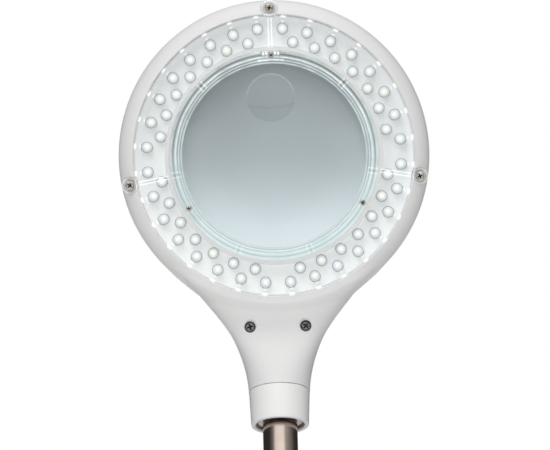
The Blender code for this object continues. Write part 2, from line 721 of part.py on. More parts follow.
def base_weight(base):
    low = PAD_THICKNESS + GAP
    nut_well = 14 * MM
    well_top = low + 7 * MM
    profile = [
        (WEIGHT_RADIUS - 1 * MM, WEIGHT_TOP), (WEIGHT_RADIUS, WEIGHT_TOP - 1 * MM),
        (WEIGHT_RADIUS, low), (nut_well, low), (nut_well, well_top), (STUB_HOLE, well_top),
        (STUB_HOLE, WEIGHT_TOP),
    ]
    made = turned("base_weight", profile, "cast_iron", base, steps=32)
    for i, place in enumerate(base_screw_places(), 1):
        cut(made, rod(f"weight_sink_{i}", 4.2 * MM, 0, 6 * MM, None, base, place=place),
            rod(f"weight_hole_{i}", 2 * MM, 0, WEIGHT_TOP + PAST, None, base, sides=6, place=place))
        screw(f"base_screw_{i}", 3.6 * MM, 2 * MM, 1.5 * MM, 12.5 * MM, "steel_screw", base,
              place=(*place[:2], 5.7 * MM), turn=(math.pi, 0, 0))
    notch_low = (-6 * MM, WEIGHT_RADIUS - 12 * MM, 0)
    notch_high = (6 * MM, WEIGHT_RADIUS + PAST, WEIGHT_TOP + PAST)
    cut(made, block("inlet_notch", notch_low, notch_high, None, base))


def power_inlet(base):
    """The low-voltage socket in the back of the base, along its own Z."""
    face = BASE_RADIUS + GAP + 1.2 * MM
    flange = BASE_RADIUS + GAP
    back = BASE_RADIUS - 17 * MM
    well = back + 6 * MM
    profile = [
        (0, face - 1 * MM), (0.9 * MM, face - 1.5 * MM), (0.9 * MM, well), (2.75 * MM, well),
        (2.75 * MM, face), (4.2 * MM, face), (4.8 * MM, face - 0.5 * MM), (4.8 * MM, flange),
        (3.6 * MM, flange), (3.6 * MM, back), (0, back),
    ]
    turned("power_inlet", profile, "black_plastic", base, steps=12,
           place=(0, 0, INLET_HEIGHT), turn=(-math.pi / 2, 0, 0))


def lower_ferrule(base):
    """The ferrule on the base: a threaded stub through the weight, and a ball on top."""
    foot = BASE_TOP + GAP
    shoulder = FIRST_JOINT - SHOULDER
    edge = 0.6 * MM
    profile = [
        *ball_arc(FIRST_JOINT), (LINK_RADIUS - edge, shoulder), (LINK_RADIUS, shoulder - edge),
        (LINK_RADIUS, shoulder - 4 * MM), (TUBE_RADIUS, shoulder - 5 * MM),
        (TUBE_RADIUS, foot + 5 * MM), (13 * MM, foot + 3 * MM), (13.5 * MM, foot + 2 * MM),
        (13.5 * MM, foot), (STUB_RADIUS, foot), (STUB_RADIUS, PAD_THICKNESS + 3 * GAP),
        (BORE, PAD_THICKNESS + 3 * GAP),
    ]
    turned("lower_ferrule", profile, "nickel", base, steps=16)
    hole = STUB_RADIUS + GAP
    low = PAD_THICKNESS + 2 * GAP
    nut = rod("ferrule_nut", 11 * MM, low, low + 4 * MM, "brass", base, sides=6)
    cut(nut, rod("ferrule_nut_bore", hole, 0, WEIGHT_TOP, None, base))
    washer = [
        (13 * MM, low + 5.6 * MM), (13 * MM, low + 4.3 * MM), (hole, low + 4.3 * MM),
        (hole, low + 5.6 * MM),
    ]
    turned("ferrule_washer", washer, "steel_screw", base, steps=12)


def foot_pad(base):
    rod("foot_pad", PAD_RADIUS, 0, PAD_THICKNESS, "rubber", base, sides=32)


# ---------------------------------------------------------------- the lamp


def build():
    places = joint_places()
    tilt = (-NECK_TILT, -HEAD_ROLL, 0)
    lean = Euler((0, -HEAD_ROLL, 0)).to_matrix()
    seam = places[-1] + FERRULE_LENGTH * (Euler(tilt).to_matrix() @ Vector((0, 0, 1)))
    head_centre = seam - lean @ Vector((0, seam_depth(), -SEAM_DROP))

    base = frame("base", (0, 0, 0))
    foot_pad(base)
    base_weight(base)
    base_cover(base)
    power_inlet(base)
    lower_ferrule(base)
    gooseneck(places)

    collar = frame("collar", seam, tilt)
    seam_bush(collar)
    collar_pieces(collar)

    head = frame("head", head_centre, (0, -HEAD_ROLL, 0))
    face = frame("face", (0, 0, 0), (math.pi / 2, 0, 0), head)
    turned_outer = neck_loft("neck_outer", 0, face)
    hollows = [
        turned("disc_hollow", disc_profile(WALL), None, face, steps=CASING_STEPS),
        neck_loft("neck_hollow", WALL, face),
    ]
    front_housing(face, turned_outer, hollows)
    rear_housing(face, turned_outer, hollows)
    led_cover(face)
    led_board(face)
    lens(face)
    lens_retainer(face)
    head_screws(face)
    driver_board(face)
    led_lead(face)
    switch(face)
    lens_lid(frame("lid_hinge", (0, HINGE_UP, -HINGE_DEPTH), parent=face))


clear_scene()
PARTS = collection("magnifying_lamp")
CUTTERS = collection("cutters", hidden=True)
build()
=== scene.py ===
"""Magnifying lamp: the finish of a lit lens head on a flexible arm and a round base.

Metres, +Z up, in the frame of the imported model. The head's pieces are made in the face
frame, with X to the right, Y up and Z out of the face, and the collar's and the arm's
pieces with Z up their own axis. Each is then put in place in its mesh.
"""

import json
import math

import bmesh
import bpy
import numpy as np
from bpy.props import FloatProperty, FloatVectorProperty, IntProperty, PointerProperty
from mathutils import Euler, Matrix, Vector


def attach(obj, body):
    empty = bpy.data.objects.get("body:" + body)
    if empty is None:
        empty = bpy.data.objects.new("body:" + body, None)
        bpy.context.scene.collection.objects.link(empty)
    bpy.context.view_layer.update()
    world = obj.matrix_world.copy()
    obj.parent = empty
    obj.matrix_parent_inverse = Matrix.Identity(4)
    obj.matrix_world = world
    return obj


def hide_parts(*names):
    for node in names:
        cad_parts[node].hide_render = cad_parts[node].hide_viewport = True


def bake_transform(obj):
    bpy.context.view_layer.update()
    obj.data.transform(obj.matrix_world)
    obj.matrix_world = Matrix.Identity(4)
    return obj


bl_info = {
    "name": "Magnifying lamp",
    "version": (1, 0, 0),
    "blender": (4, 5, 0),
    "location": "3D View > Sidebar > Lamp",
    "description": "Builds the finished pieces of a magnifying lamp around its packed model",
    "category": "Object",
}

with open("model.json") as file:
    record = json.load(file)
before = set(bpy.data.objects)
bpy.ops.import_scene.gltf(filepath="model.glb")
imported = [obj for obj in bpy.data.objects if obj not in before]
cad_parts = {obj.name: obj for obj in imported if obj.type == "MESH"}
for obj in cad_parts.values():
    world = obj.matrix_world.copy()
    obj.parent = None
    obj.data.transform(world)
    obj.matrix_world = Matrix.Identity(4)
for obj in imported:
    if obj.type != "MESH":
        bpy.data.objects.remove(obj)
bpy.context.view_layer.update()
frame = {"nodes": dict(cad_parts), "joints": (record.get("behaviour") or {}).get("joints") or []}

MM = 0.001
JOINTS = {joint["name"]: joint for joint in frame["joints"]}
ARM_JOINTS = [f"gooseneck_{turn}_{n}" for n in range(1, 5) for turn in ("nod", "side")]
ARM_BODIES = ["base", *(f"link_{n}" for n in range(1, 8)), "collar"]
HINGE = Vector((0, 68.5 * MM, -36.3 * MM))  # the lid's hinge, in the face frame
COVER_TURN = math.radians(0.6)  # the cover and its board sit turned in the casing
TAB_ANGLES = [math.radians(a) + COVER_TURN for a in (90, 190, 350)]
CLAMP_ANGLES = [math.radians(a) + COVER_TURN for a in (90, 210, 330)]
NOTCH_ANGLES = [math.radians(a) for a in (45, 135, 190, 248, 290, 350)]
TAB_REACH, CLAMP_REACH = 76.6 * MM, 52.2 * MM  # where the cover's and the clamp ring's screws are
NECK_SCREWS = (14.5 * MM, 89 * MM)  # sideways and below the head's centre
BUTTON_DROP = 84 * MM  # how far below the head's centre the button is
BACK = -33 * MM  # the back of the head, in the face frame
AIM = Vector((0.5 * MM, 0, -36.2 * MM))  # what the camera looks at, from the head's centre


def pivot(joint):
    return Vector(JOINTS[joint]["pos_m"])


def axis(joint):
    return Vector(JOINTS[joint]["axis"])


LEAN = math.atan2(axis("lid_hinge").z, axis("lid_hinge").x)
TILT = math.asin(axis("head_swivel").y)
_face_turn = Euler((0, -LEAN, 0)).to_matrix().to_4x4() @ Matrix.Rotation(math.pi / 2, 4, "X")
FACE = Matrix.Translation(pivot("lid_hinge") - _face_turn.to_3x3() @ HINGE) @ _face_turn
COLLAR = Matrix.Translation(pivot("head_swivel")) @ Euler((-TILT, -LEAN, 0)).to_matrix().to_4x4()


# ---------------------------------------------------------------- settings


def length(name, description, default):
    return FloatProperty(name=name, description=description, default=default,
                         min=0, unit="LENGTH", subtype="DISTANCE", precision=5)


def colour(name, description, default):
    return FloatVectorProperty(name=name, description=description, default=default,
                               size=3, min=0, max=1, subtype="COLOR")


def number(name, description, default):
    return FloatProperty(name=name, description=description, default=default, min=0)


class CasingSettings(bpy.types.PropertyGroup):
    radius: length("Radius", "Outer radius of the round head", 81 * MM)
    depth: length("Depth", "Thickness of the head, front to back", 33 * MM)
    wall: length("Wall", "Thickness of the moulded wall", 2.2 * MM)
    parting: length("Parting depth", "Depth of the line between the two halves", 17.15 * MM)
    blend: length("Blend", "Width of the soft valley between the head and its neck", 19 * MM)
    grid: length("Grid", "Size of the facets of the two housings", 1.15 * MM)
    shell: colour("Shell", "Colour of the white plastic", (0.80, 0.80, 0.795))


class LightSettings(bpy.types.PropertyGroup):
    cover_radius: length("Cover radius", "Outer radius of the clear cover", 73.5 * MM)
    cover_hole: length("Cover hole", "Radius of the opening in the clear cover", 54.4 * MM)
    outer_row: length("Outer row", "Radius of the outer row of LEDs", 66.0 * MM)
    inner_row: length("Inner row", "Radius of the inner row of LEDs", 59.9 * MM)
    places: IntProperty(name="Places", description="Evenly spaced places in each row", default=32)
    seed: IntProperty(name="Seed", description="Which LEDs look warmer than the rest", default=4)
    bulb: length("LED radius", "Radius of an LED's body", 2.5 * MM)
    glow: number("Glow", "Brightness of the LEDs", 0.66)
    cool: colour("Cool LEDs", "Colour of most LEDs", (0.96, 0.99, 1.0))
    warm: colour("Warm LEDs", "Colour of the warmer LEDs", (0.98, 1.0, 0.86))
    plate: colour("Plate", "Colour of the board under the cover", (0.76, 0.765, 0.77))


class LensSettings(bpy.types.PropertyGroup):
    radius: length("Radius", "Radius of the lens", 50 * MM)
    curve: length("Curve", "Radius of curvature of both faces", 347 * MM)
    insert: length("Insert", "Radius of the stronger round insert", 12.5 * MM)
    insert_up: length("Insert height", "How far above the centre the insert sits", 30.3 * MM)
    tint: colour("Tint", "Colour of the glass", (0.95, 0.975, 0.985))
    ring_tint: colour("Ring tint", "Colour of the clear ring round the lens", (0.88, 0.955, 0.96))


class ArmSettings(bpy.types.PropertyGroup):
    tube: length("Tube", "Radius of the plain tube under the collar", 9 * MM)
    wire: length("Wire", "Radius of the wire wound round the arm", 1.3 * MM)
    reach: length("Winding", "Outer radius of the winding", 8 * MM)
    pitch: length("Pitch", "Distance between two turns of the winding", 2.4 * MM)
    nickel: colour("Nickel", "Colour of the plated metal", (0.66, 0.56, 0.49))


class BaseSettings(bpy.types.PropertyGroup):
    radius: length("Radius", "Outer radius of the base", 95 * MM)
    top: length("Height", "Height of the base at its hub", 28 * MM)
    edge: length("Edge", "Height of the base at its rim", 14 * MM)
    rubber: colour("Rubber", "Colour of the foot pad", (0.035, 0.035, 0.037))


class StageSettings(bpy.types.PropertyGroup):
    distance: length("Distance", "From the camera to the front of the head", 2.5)
    focal: FloatProperty(name="Focal length", description="Focal length of the camera",
                         default=315, unit="CAMERA")
    floor: length("Floor", "Radius of the floor", 2.2)
    key: FloatProperty(name="Key light", description="Power of the large soft light",
                       default=14.8, unit="POWER")


SETTINGS = {
    "lamp_casing": CasingSettings, "lamp_light": LightSettings, "lamp_lens": LensSettings,
    "lamp_arm": ArmSettings, "lamp_base": BaseSettings, "lamp_stage": StageSettings,
}


# ---------------------------------------------------------------- node graphs


class Value:
    """An output socket that takes part in arithmetic by adding Math nodes."""

    def __init__(self, graph, socket):
        self.graph, self.socket = graph, socket

    def out(self, name):
        """Another output of the same node."""
        return Value(self.graph, self.socket.node.outputs[name])

    def math(self, operation, *others):
        return self.graph.node("ShaderNodeMath", {"operation": operation}, (self, *others))

    def __add__(self, other):
        return self.math("ADD", other)

    def __sub__(self, other):
        return self.math("SUBTRACT", other)

    def __rsub__(self, other):
        return self.graph.node("ShaderNodeMath", {"operation": "SUBTRACT"}, (other, self))

    def __mul__(self, other):
        return self.math("MULTIPLY", other)

    def __truediv__(self, other):
        return self.math("DIVIDE", other)

    def __rtruediv__(self, other):
        return self.graph.node("ShaderNodeMath", {"operation": "DIVIDE"}, (other, self))

    __radd__, __rmul__ = __add__, __mul__

    def ease(self, low, high):
        """0 below low, 1 above high and a smooth climb between them."""
        return self.graph.node("ShaderNodeMapRange", {"interpolation_type": "SMOOTHSTEP"},
                               {"Value": self, "From Min": low, "From Max": high})


class Graph:
    """A node tree that nodes are added to by one method."""

    def __init__(self, tree):
        self.tree = tree
        tree.nodes.clear()

    def node(self, kind, settings=None, values=(), out=0):
        """Adds a node with its settings and its inputs' values, and gives one of its outputs."""
        made = self.tree.nodes.new(kind)
        for name, setting in (settings or {}).items():
            setattr(made, name, setting)
        pairs = values.items() if isinstance(values, dict) else enumerate(values)
        for key, value in pairs:
            for one in value if isinstance(value, list) else [value]:
                self.feed(self.input_of(made, key), one)
        return Value(self, made.outputs[out]) if made.outputs else made

    def input_of(self, node, key):
        if isinstance(key, int):
            return node.inputs[key]
        return next(s for s in node.inputs if s.name == key and s.enabled)

    def feed(self, socket, value):
        if isinstance(value, Value):
            self.tree.links.new(value.socket, socket)
        elif socket.type == "RGBA" and len(value) == 3:
            socket.default_value = (*value, 1)
        else:
            socket.default_value = value


class Finish(Graph):
    """A material's graph, with the patterns that the lamp's finishes share."""

    def __init__(self, name):
        self.material = bpy.data.materials.new(name)
        self.material.use_nodes = True
        super().__init__(self.material.node_tree)

    def place(self):
        """Where a point is on its piece, in metres."""
        return self.node("ShaderNodeTexCoord", out="Object")

    def centred(self, matrix):
        """The same point in the frame that matrix puts in place."""
        inverse = matrix.inverted()
        return self.node("ShaderNodeMapping", {"vector_type": "POINT"}, {
            "Vector": self.place(), "Location": inverse.to_translation(),
            "Rotation": inverse.to_euler()})

    def parts(self, vector):
        """The three numbers of a vector."""
        x = self.node("ShaderNodeSeparateXYZ", None, (vector,))
        return x, x.out("Y"), x.out("Z")

    def noise(self, scale, detail=2.0, vector=None):
        return self.node("ShaderNodeTexNoise", None, {
            "Vector": vector or self.place(), "Scale": scale, "Detail": detail})

    def stretched(self, scales):
        """The point's place with each direction scaled by its own number."""
        return self.node("ShaderNodeVectorMath", {"operation": "MULTIPLY"}, (self.place(), scales))

    def mix(self, share, a, b):
        made = self.node("ShaderNodeMix", {"data_type": "RGBA"})
        for key, value in ((0, share), (6, a), (7, b)):
            self.feed(made.socket.node.inputs[key], value)
        return made.out(2)

    def bump(self, height, depth, strength=1.0):
        return self.node("ShaderNodeBump", None, {
            "Height": height, "Distance": depth, "Strength": strength})

    def attribute(self, name):
        return self.node("ShaderNodeAttribute", {"attribute_name": name}, out="Fac")

    def principled(self, **values):
        """The main shader; an underscore stands for a space in a socket's name."""
        return self.node("ShaderNodeBsdfPrincipled", None,
                         {name.replace("_", " "): value for name, value in values.items()})

    def done(self, shader):
        self.node("ShaderNodeOutputMaterial", None, {"Surface": shader})
        return self.material

    def coated(self, **values):
        return self.done(self.principled(**values))


def shade(rgb, factor):
    return tuple(min(1.0, c * factor) for c in rgb)


# ---------------------------------------------------------------- finishes


def white_plastic(name="white_plastic", inside=None):
    """Moulded white plastic with a faint cloudiness and a fine grain.

    inside paints shade into its colour, and gives the painted light that it glows with where LEDs
    would light it."""
    shell = bpy.context.scene.lamp_casing.shell
    f = Finish(name)
    cloud, grain = f.noise(14, 3.0), f.noise(1500, 2.0)
    base = f.mix(cloud.ease(0.35, 0.65), shell, shade(shell, 0.975))
    glow = (0, 0, 0)
    if inside:
        # inside gives painted shade in the colour and painted light in the glow
        base, glow = inside(f, base)
    return f.coated(
        Base_Color=base, Roughness=0.36 + 0.06 * cloud + 0.05 * grain,
        Normal=f.bump(grain, 0.02 * MM, 0.35), Specular_IOR_Level=0.45,
        Emission_Color=glow, Emission_Strength=1.0)


def shaded_inside(f, base):
    """The lid's inner face is bluish, with painted shade that darkens it towards its top, and
    painted light from the LEDs, stronger below and towards the rim and weaker near its upper rim.
    """
    x, y, z = f.parts(f.centred(FACE))
    radius = (x * x + y * y).math("SQRT")
    above = z + 38.5 * MM - radius * radius * 0.66
    inner = above.ease(0, 0.3 * MM) * (1 - radius.ease(60 * MM, 61 * MM))
    # painted shade: the colour darkens towards the top of the face
    tone = f.mix(y.ease(-48 * MM, 8 * MM), (0.67, 0.72, 0.74), (0.48, 0.53, 0.55))
    # painted light from the LEDs, stronger below and towards the rim, weaker near the upper rim
    painted_glow = 0.075 + 0.15 * (1 - y.ease(-42 * MM, 4 * MM))
    painted_glow = painted_glow + radius.ease(20 * MM, 46 * MM) * (1 - y.ease(5 * MM, 30 * MM)) * 0.09
    painted_glow = painted_glow * (1 - radius.ease(40 * MM, 50 * MM) * y.ease(-10 * MM, 20 * MM) * 0.8)
    return f.mix(inner, base, tone), f.mix(inner * painted_glow, (0, 0, 0), (0.93, 0.99, 1.0))


def clear_plastic(name, tint, roughness, marks, ior=1.49):
    """Clear plastic or glass that lets lamps through to what is behind it.

    The marks are painted: painted shade where it is darker and painted light where it is lit."""
    f = Finish(name)
    haze = f.noise(35, 3.0)
    dark, bright = marks(f)
    body = f.mix(haze.ease(0.4, 0.7), tint, shade(tint, 0.985))
    # dark marks are painted shade in the colour; bright marks are painted light in the glow
    glass = f.principled(
        Base_Color=f.mix(dark, body, shade(tint, 0.30)), Roughness=roughness, IOR=ior,
        Transmission_Weight=1.0, Emission_Color=f.mix(bright, (0, 0, 0), (1, 1, 1)),
        Emission_Strength=1.0)
    through = f.node("ShaderNodeBsdfTransparent", None, {"Color": tint})
    lamp = f.node("ShaderNodeLightPath", out="Is Shadow Ray")
    return f.done(f.node("ShaderNodeMixShader", None, (lamp, glass, through)))


def spun(angle):
    return Matrix.Rotation(angle, 4, "Z")


def line_at(distance, middle, half):
    """A soft line where a distance passes its middle value."""
    return 1 - (distance - middle).math("ABSOLUTE").ease(0.3 * half, half)


def round_frame(f, matrix):
    """The distance from matrix's Z axis and the two coordinates across it."""
    x, y, _ = f.parts(f.centred(matrix))
    return (x * x + y * y).math("SQRT"), x, y


def spoke_frame(f, angle):
    """The distance along a line from the head's centre, and the distance to its side."""
    along, off, _ = f.parts(f.centred(FACE @ spun(angle)))
    return along, off.math("ABSOLUTE")


def cover_marks(f):
    """Painted glints where the LEDs' light would catch the cover's rim, faint painted light at its
    inner edge and a painted highlight along the rim, painted highlights on the ribs and bosses of
    its tabs, and painted shade at its hole and inside the bosses.
    """
    light = bpy.context.scene.lamp_light
    radius, x, y = round_frame(f, FACE)
    across = ((y.math("ARCTAN2", x) - COVER_TURN) * light.places + math.pi).math("COSINE")
    rim = light.cover_radius
    # painted glints where each LED's light would catch the rim
    bright = across.ease(0.70, 1.0) * line_at(radius, rim - 1.2 * MM, 0.75 * MM) * 0.24
    bright = bright + across.ease(0.85, 1.0) * line_at(radius, rim - 3.8 * MM, 0.8 * MM) * 0.13
    # faint painted light at the inner edge and a painted highlight along the rim
    bright = bright + (1 - radius.ease(57 * MM, 58 * MM)) * 0.03
    bright = bright + line_at(radius, rim - 0.1 * MM, 0.45 * MM) * 0.10
    # painted shade along the edge of the hole
    dark = line_at(radius, light.cover_hole, 0.3 * MM) * 0.10
    for angle in TAB_ANGLES:
        reach, _, _ = round_frame(f, FACE @ at(TAB_REACH, angle))
        along, off = spoke_frame(f, angle)
        # painted highlights on the tab's ribs and the boss's edge; painted shade inside the boss
        rib = line_at(off, 0.8 * MM, 0.42 * MM)
        rib = rib * along.ease(55.5 * MM, 56.5 * MM) * (1 - along.ease(71 * MM, 72.5 * MM))
        bright = bright + rib * 0.18 + line_at(reach, 3.9 * MM, 0.45 * MM) * 0.16
        dark = dark + (1 - reach.ease(3.3 * MM, 3.7 * MM)) * 0.09
    return dark, bright


def clamp_marks(f):
    """Painted highlights on the clamp ring's steps and painted shade at its joins, stronger towards
    the top, with painted highlights and shade at its notches, painted highlights on the clip and
    its posts, and the clip's pins painted dark.
    """
    radius, _, y = round_frame(f, FACE)
    uneven = f.noise(55, 2.0).ease(0.35, 0.6)
    broken = 0.6 + 0.8 * f.noise(120, 2.0).ease(0.4, 0.6)
    # upper makes the painted light and shade stronger towards the top
    upper = 0.4 + 0.6 * y.ease(-30 * MM, 25 * MM)
    # an even painted light, stronger below, and painted shade, stronger above
    bright, dark = 0.075 - upper * 0.045, upper * 0.06
    # painted highlights along the steps
    for place, share in ((48.5, 0.13), (49.9, 0.06), (51.5, 0.22), (53.8, 0.12), (54.6, 0.20)):
        bright = bright + line_at(radius, place * MM, 0.42 * MM) * share * upper * broken
    # painted shade along the joins between the steps
    for place, share in ((47.7, 0.35), (49.2, 0.40), (50.6, 0.70), (52.8, 0.85), (53.8, 0.25)):
        dark = dark + line_at(radius, place * MM, 0.38 * MM) * (0.5 + 0.5 * uneven) * share * upper
    for angle in NOTCH_ANGLES:
        along, off = spoke_frame(f, angle)
        # painted highlights on the notch's sides and painted shade inside it
        side = line_at(off, 1.3 * MM, 0.55 * MM) * along.ease(49 * MM, 50 * MM)
        bright = bright + side * upper * 0.10
        notch_shade = (1 - off.ease(0.5 * MM, 0.8 * MM)) * along.ease(50 * MM, 51 * MM)
        dark = dark + notch_shade * upper * 0.3
    middle, pins = CLAMP_ANGLES[0], 0
    along, off = spoke_frame(f, middle)
    # painted highlights on the clip and its posts
    wide = (1 - off.ease(6.6 * MM, 7.2 * MM)) * along.ease(0, 10 * MM)
    bright = bright + line_at(radius, 50.1 * MM, 0.9 * MM) * wide * 0.16
    for offset in (-4.2, -2.3, 2.3, 4.2):
        reach, _, _ = round_frame(f, FACE @ at(53.3 * MM, middle + math.radians(offset)))
        bright = bright + (1 - reach.ease(0.4 * MM, 0.7 * MM)) * 0.35
    for offset in (-5.1, -0.9, 0.9, 5.1):
        reach, _, _ = round_frame(f, FACE @ at(54.8 * MM, middle + math.radians(offset)))
        pins = pins + (1 - reach.ease(0.35 * MM, 0.6 * MM))
    return dark + pins * 2, bright * (1 - pins).math("MAXIMUM", 0)


def lens_marks(f):
    """The lens's stronger insert, painted darker, more so below the edge of a painted reflection
    that sags across it, with faint painted light over its top, and its rim painted dark below and
    lit above.
    """
    lens = bpy.context.scene.lamp_lens
    radius, x, y = round_frame(f, FACE @ insert_place())
    inside = 1 - radius.ease(lens.insert - 0.5 * MM, lens.insert)
    rim = line_at(radius, lens.insert - 0.2 * MM, 0.5 * MM)
    # the edge of a painted reflection, sagging across the insert
    reflection_edge = y + 5.2 * MM - x * x * 13
    dark = inside * (0.06 + 0.05 * (1 - reflection_edge.ease(-0.5 * MM, 0.5 * MM)))
    dark = dark + line_at(reflection_edge, 0, 0.7 * MM) * inside * 0.10
    # the rim is painted dark below and lit above
    dark = dark + rim * (1 - y.ease(-6 * MM, 4 * MM)) * 0.16
    return dark, rim * y.ease(-3 * MM, 6 * MM) * 0.08 + inside * y.ease(-4 * MM, 10 * MM) * 0.02


def insert_place():
    lens = bpy.context.scene.lamp_lens
    return spun(math.radians(2)) @ Matrix.Translation((0, lens.insert_up, 0))


def plated_nickel(name, streaks=(900, 900, 6), wear=0.25, cup_shade=False):
    """Warm nickel with fine marks along the tube; the upper tube's nickel is painted dark near its
    top, as painted shade where it meets the cup.
    """
    nickel = bpy.context.scene.lamp_arm.nickel
    f = Finish(name)
    line = f.noise(1.0, 3.0, f.stretched(streaks))
    cloud = f.noise(60, 3.0)
    base = f.mix(cloud.ease(0.35, 0.7), nickel, shade(nickel, 0.9))
    # painted shade where the tube goes up into the cup
    if cup_shade:
        _, _, z = f.parts(f.centred(COLLAR))
        base = f.mix((z + cloud * 1.0 * MM).ease(-20.2 * MM, -18.2 * MM), base, (0.07, 0.055, 0.05))
    return f.coated(
        Base_Color=base, Metallic=1.0, Roughness=0.13 + wear * 0.2 * line + 0.06 * cloud,
        Normal=f.bump(line, 0.01 * MM, 0.25))


def cup_nickel():
    """The cup's metal, dull and warm, with a painted reflection that glows pale deep inside and
    painted shade near its open end.
    """
    f = Finish("cup_nickel")
    _, _, z = f.parts(f.centred(COLLAR))
    cloud = f.noise(180, 3.0)
    # deep is 1 inside, where the painted reflection glows, and 0 near the open end, where painted
    # shade darkens it
    deep = (z + cloud * 1.2 * MM).ease(-18 * MM, -16.4 * MM)
    return f.coated(
        Base_Color=f.mix(deep, (0.09, 0.07, 0.06), (0.76, 0.70, 0.68)), Metallic=0.4,
        Roughness=0.34 + 0.15 * cloud, Emission_Color=f.mix(deep, (0, 0, 0), (0.25, 0.225, 0.22)),
        Emission_Strength=1.0)


def screw_metal(name, plating, rubbed):
    """Plated steel, darker where tools have rubbed it, with painted shade in the recess."""
    f = Finish(name)
    rub = f.noise(700, 4.0)
    base = f.mix(rub.ease(0.4, 0.65), plating, rubbed)
    # painted shade in the cross recess
    base = f.mix(f.attribute("deep").ease(0.35, 0.9), base, (0.04, 0.035, 0.03))
    return f.coated(
        Base_Color=base, Metallic=1.0, Roughness=0.22 + 0.25 * rub,
        Normal=f.bump(f.noise(2500), 0.02 * MM, 0.4))


def led_epoxy():
    """An LED's clear body, lit from inside: a bright middle, a cooler shoulder and a grey foot,
    which is painted shade for the dark gap round it.
    """
    light = bpy.context.scene.lamp_light
    f = Finish("led_epoxy")
    out, tone = f.attribute("out"), f.attribute("tone")
    lit = f.mix(tone.ease(0.62, 0.75), light.cool, light.warm)
    shoulder = out.ease(0.25, 0.80)
    # the foot is painted grey and glows little: painted shade for the gap round the LED
    foot = out.ease(0.78, 0.90)
    glow = f.mix(foot, f.mix(shoulder, lit, shade(light.cool, 0.52)), (0.15, 0.16, 0.16))
    speck = f.noise(900, 2.0)
    return f.coated(
        Base_Color=f.mix(foot, (0.46, 0.48, 0.48), (0.40, 0.43, 0.44)),
        Roughness=0.10 + 0.1 * speck, Emission_Color=glow, Emission_Strength=light.glow)


def light_plate():
    """The white faced board, cloudy, with painted light from the LEDs, more so below and near its
    edges.
    """
    light = bpy.context.scene.lamp_light
    f = Finish("light_plate")
    cloud, grain = f.noise(40, 3.0), f.noise(1800)
    base = f.mix(cloud.ease(0.35, 0.7), light.plate, shade(light.plate, 1.05))
    base = f.mix(f.noise(9, 2.0).ease(0.45, 0.7), base, (0.79, 0.79, 0.745))
    radius, _, y = round_frame(f, FACE)
    # painted light from the LEDs; near the outer edge at the top it also lightens the rim's shade
    lower = 1 - y.ease(-60 * MM, 10 * MM)
    painted_glow = 0.25 + 0.11 * lower + radius.ease(68 * MM, 70.5 * MM) * (1 - lower) * 0.08
    painted_glow = painted_glow + (1 - radius.ease(56 * MM, 62 * MM)) * (0.05 + 0.05 * lower)
    return f.coated(
        Base_Color=base, Roughness=0.42 + 0.1 * grain, Normal=f.bump(grain, 0.02 * MM, 0.3),
        Emission_Color=f.mix(painted_glow, (0, 0, 0), light.cool), Emission_Strength=1.0)


def speckled(name, dark, light, scale, roughness, metallic=0.0, depth=0.05 * MM):
    """A plain finish with two tones of one colour and a grain."""
    f = Finish(name)
    patch, grain = f.noise(scale, 4.0), f.noise(scale * 6, 2.0)
    return f.coated(
        Base_Color=f.mix(patch.ease(0.35, 0.65), dark, light), Metallic=metallic,
        Roughness=roughness + 0.12 * grain, Normal=f.bump(grain, depth, 0.5))


def circuit_board():
    """Green board with copper tracks in two directions and light pads."""
    f = Finish("circuit_board")
    x, _, z = f.parts(f.place())
    track = (x * 700).math("SINE").ease(0.80, 0.95)
    cross = (z * 520).math("SINE").ease(0.88, 0.97)
    base = f.mix((track + cross) * 0.5, (0.02, 0.13, 0.06), (0.10, 0.28, 0.12))
    return f.coated(Base_Color=base, Roughness=0.35 + 0.2 * track)


# ---------------------------------------------------------------- mesh making


def stored(shape, mesh=None):
    """Empties a bmesh into a mesh."""
    mesh = mesh or bpy.data.meshes.new("shape")
    shape.to_mesh(mesh)
    shape.free()
    return mesh


def cleaned(mesh, reach):
    """The mesh with points closer than reach merged, and its faces turned outwards."""
    shape = bmesh.new()
    shape.from_mesh(mesh)
    bmesh.ops.remove_doubles(shape, verts=shape.verts, dist=reach)
    bmesh.ops.recalc_face_normals(shape, faces=shape.faces)
    return stored(shape, mesh)


def mesh_of(points, faces):
    mesh = bpy.data.meshes.new("shape")
    mesh.from_pydata([tuple(p) for p in points], [], faces)
    return cleaned(mesh, 1e-7)


def rounded(profile, radius, steps=3):
    """The same outline with its corners rounded off, apart from those on the axis."""
    made = []
    count = len(profile)
    for i, corner in enumerate(profile):
        here = Vector(corner)
        if here.x < 1e-9:
            made.append(corner)
            continue
        before, after = Vector(profile[i - 1]) - here, Vector(profile[(i + 1) % count]) - here
        a = here + before.normalized() * min(radius, 0.45 * before.length)
        b = here + after.normalized() * min(radius, 0.45 * after.length)
        for k in range(steps + 1):
            t = k / steps
            made.append(tuple(a * (1 - t) ** 2 + here * (2 * t * (1 - t)) + b * t**2))
    return made


def bow(centre, radii, start, end, count=10):
    """Points on an ellipse's arc, from one angle to another in degrees."""
    turns = [math.radians(start + (end - start) * i / count) for i in range(count + 1)]
    return [(centre[0] + radii[0] * math.cos(t), centre[1] + radii[1] * math.sin(t)) for t in turns]


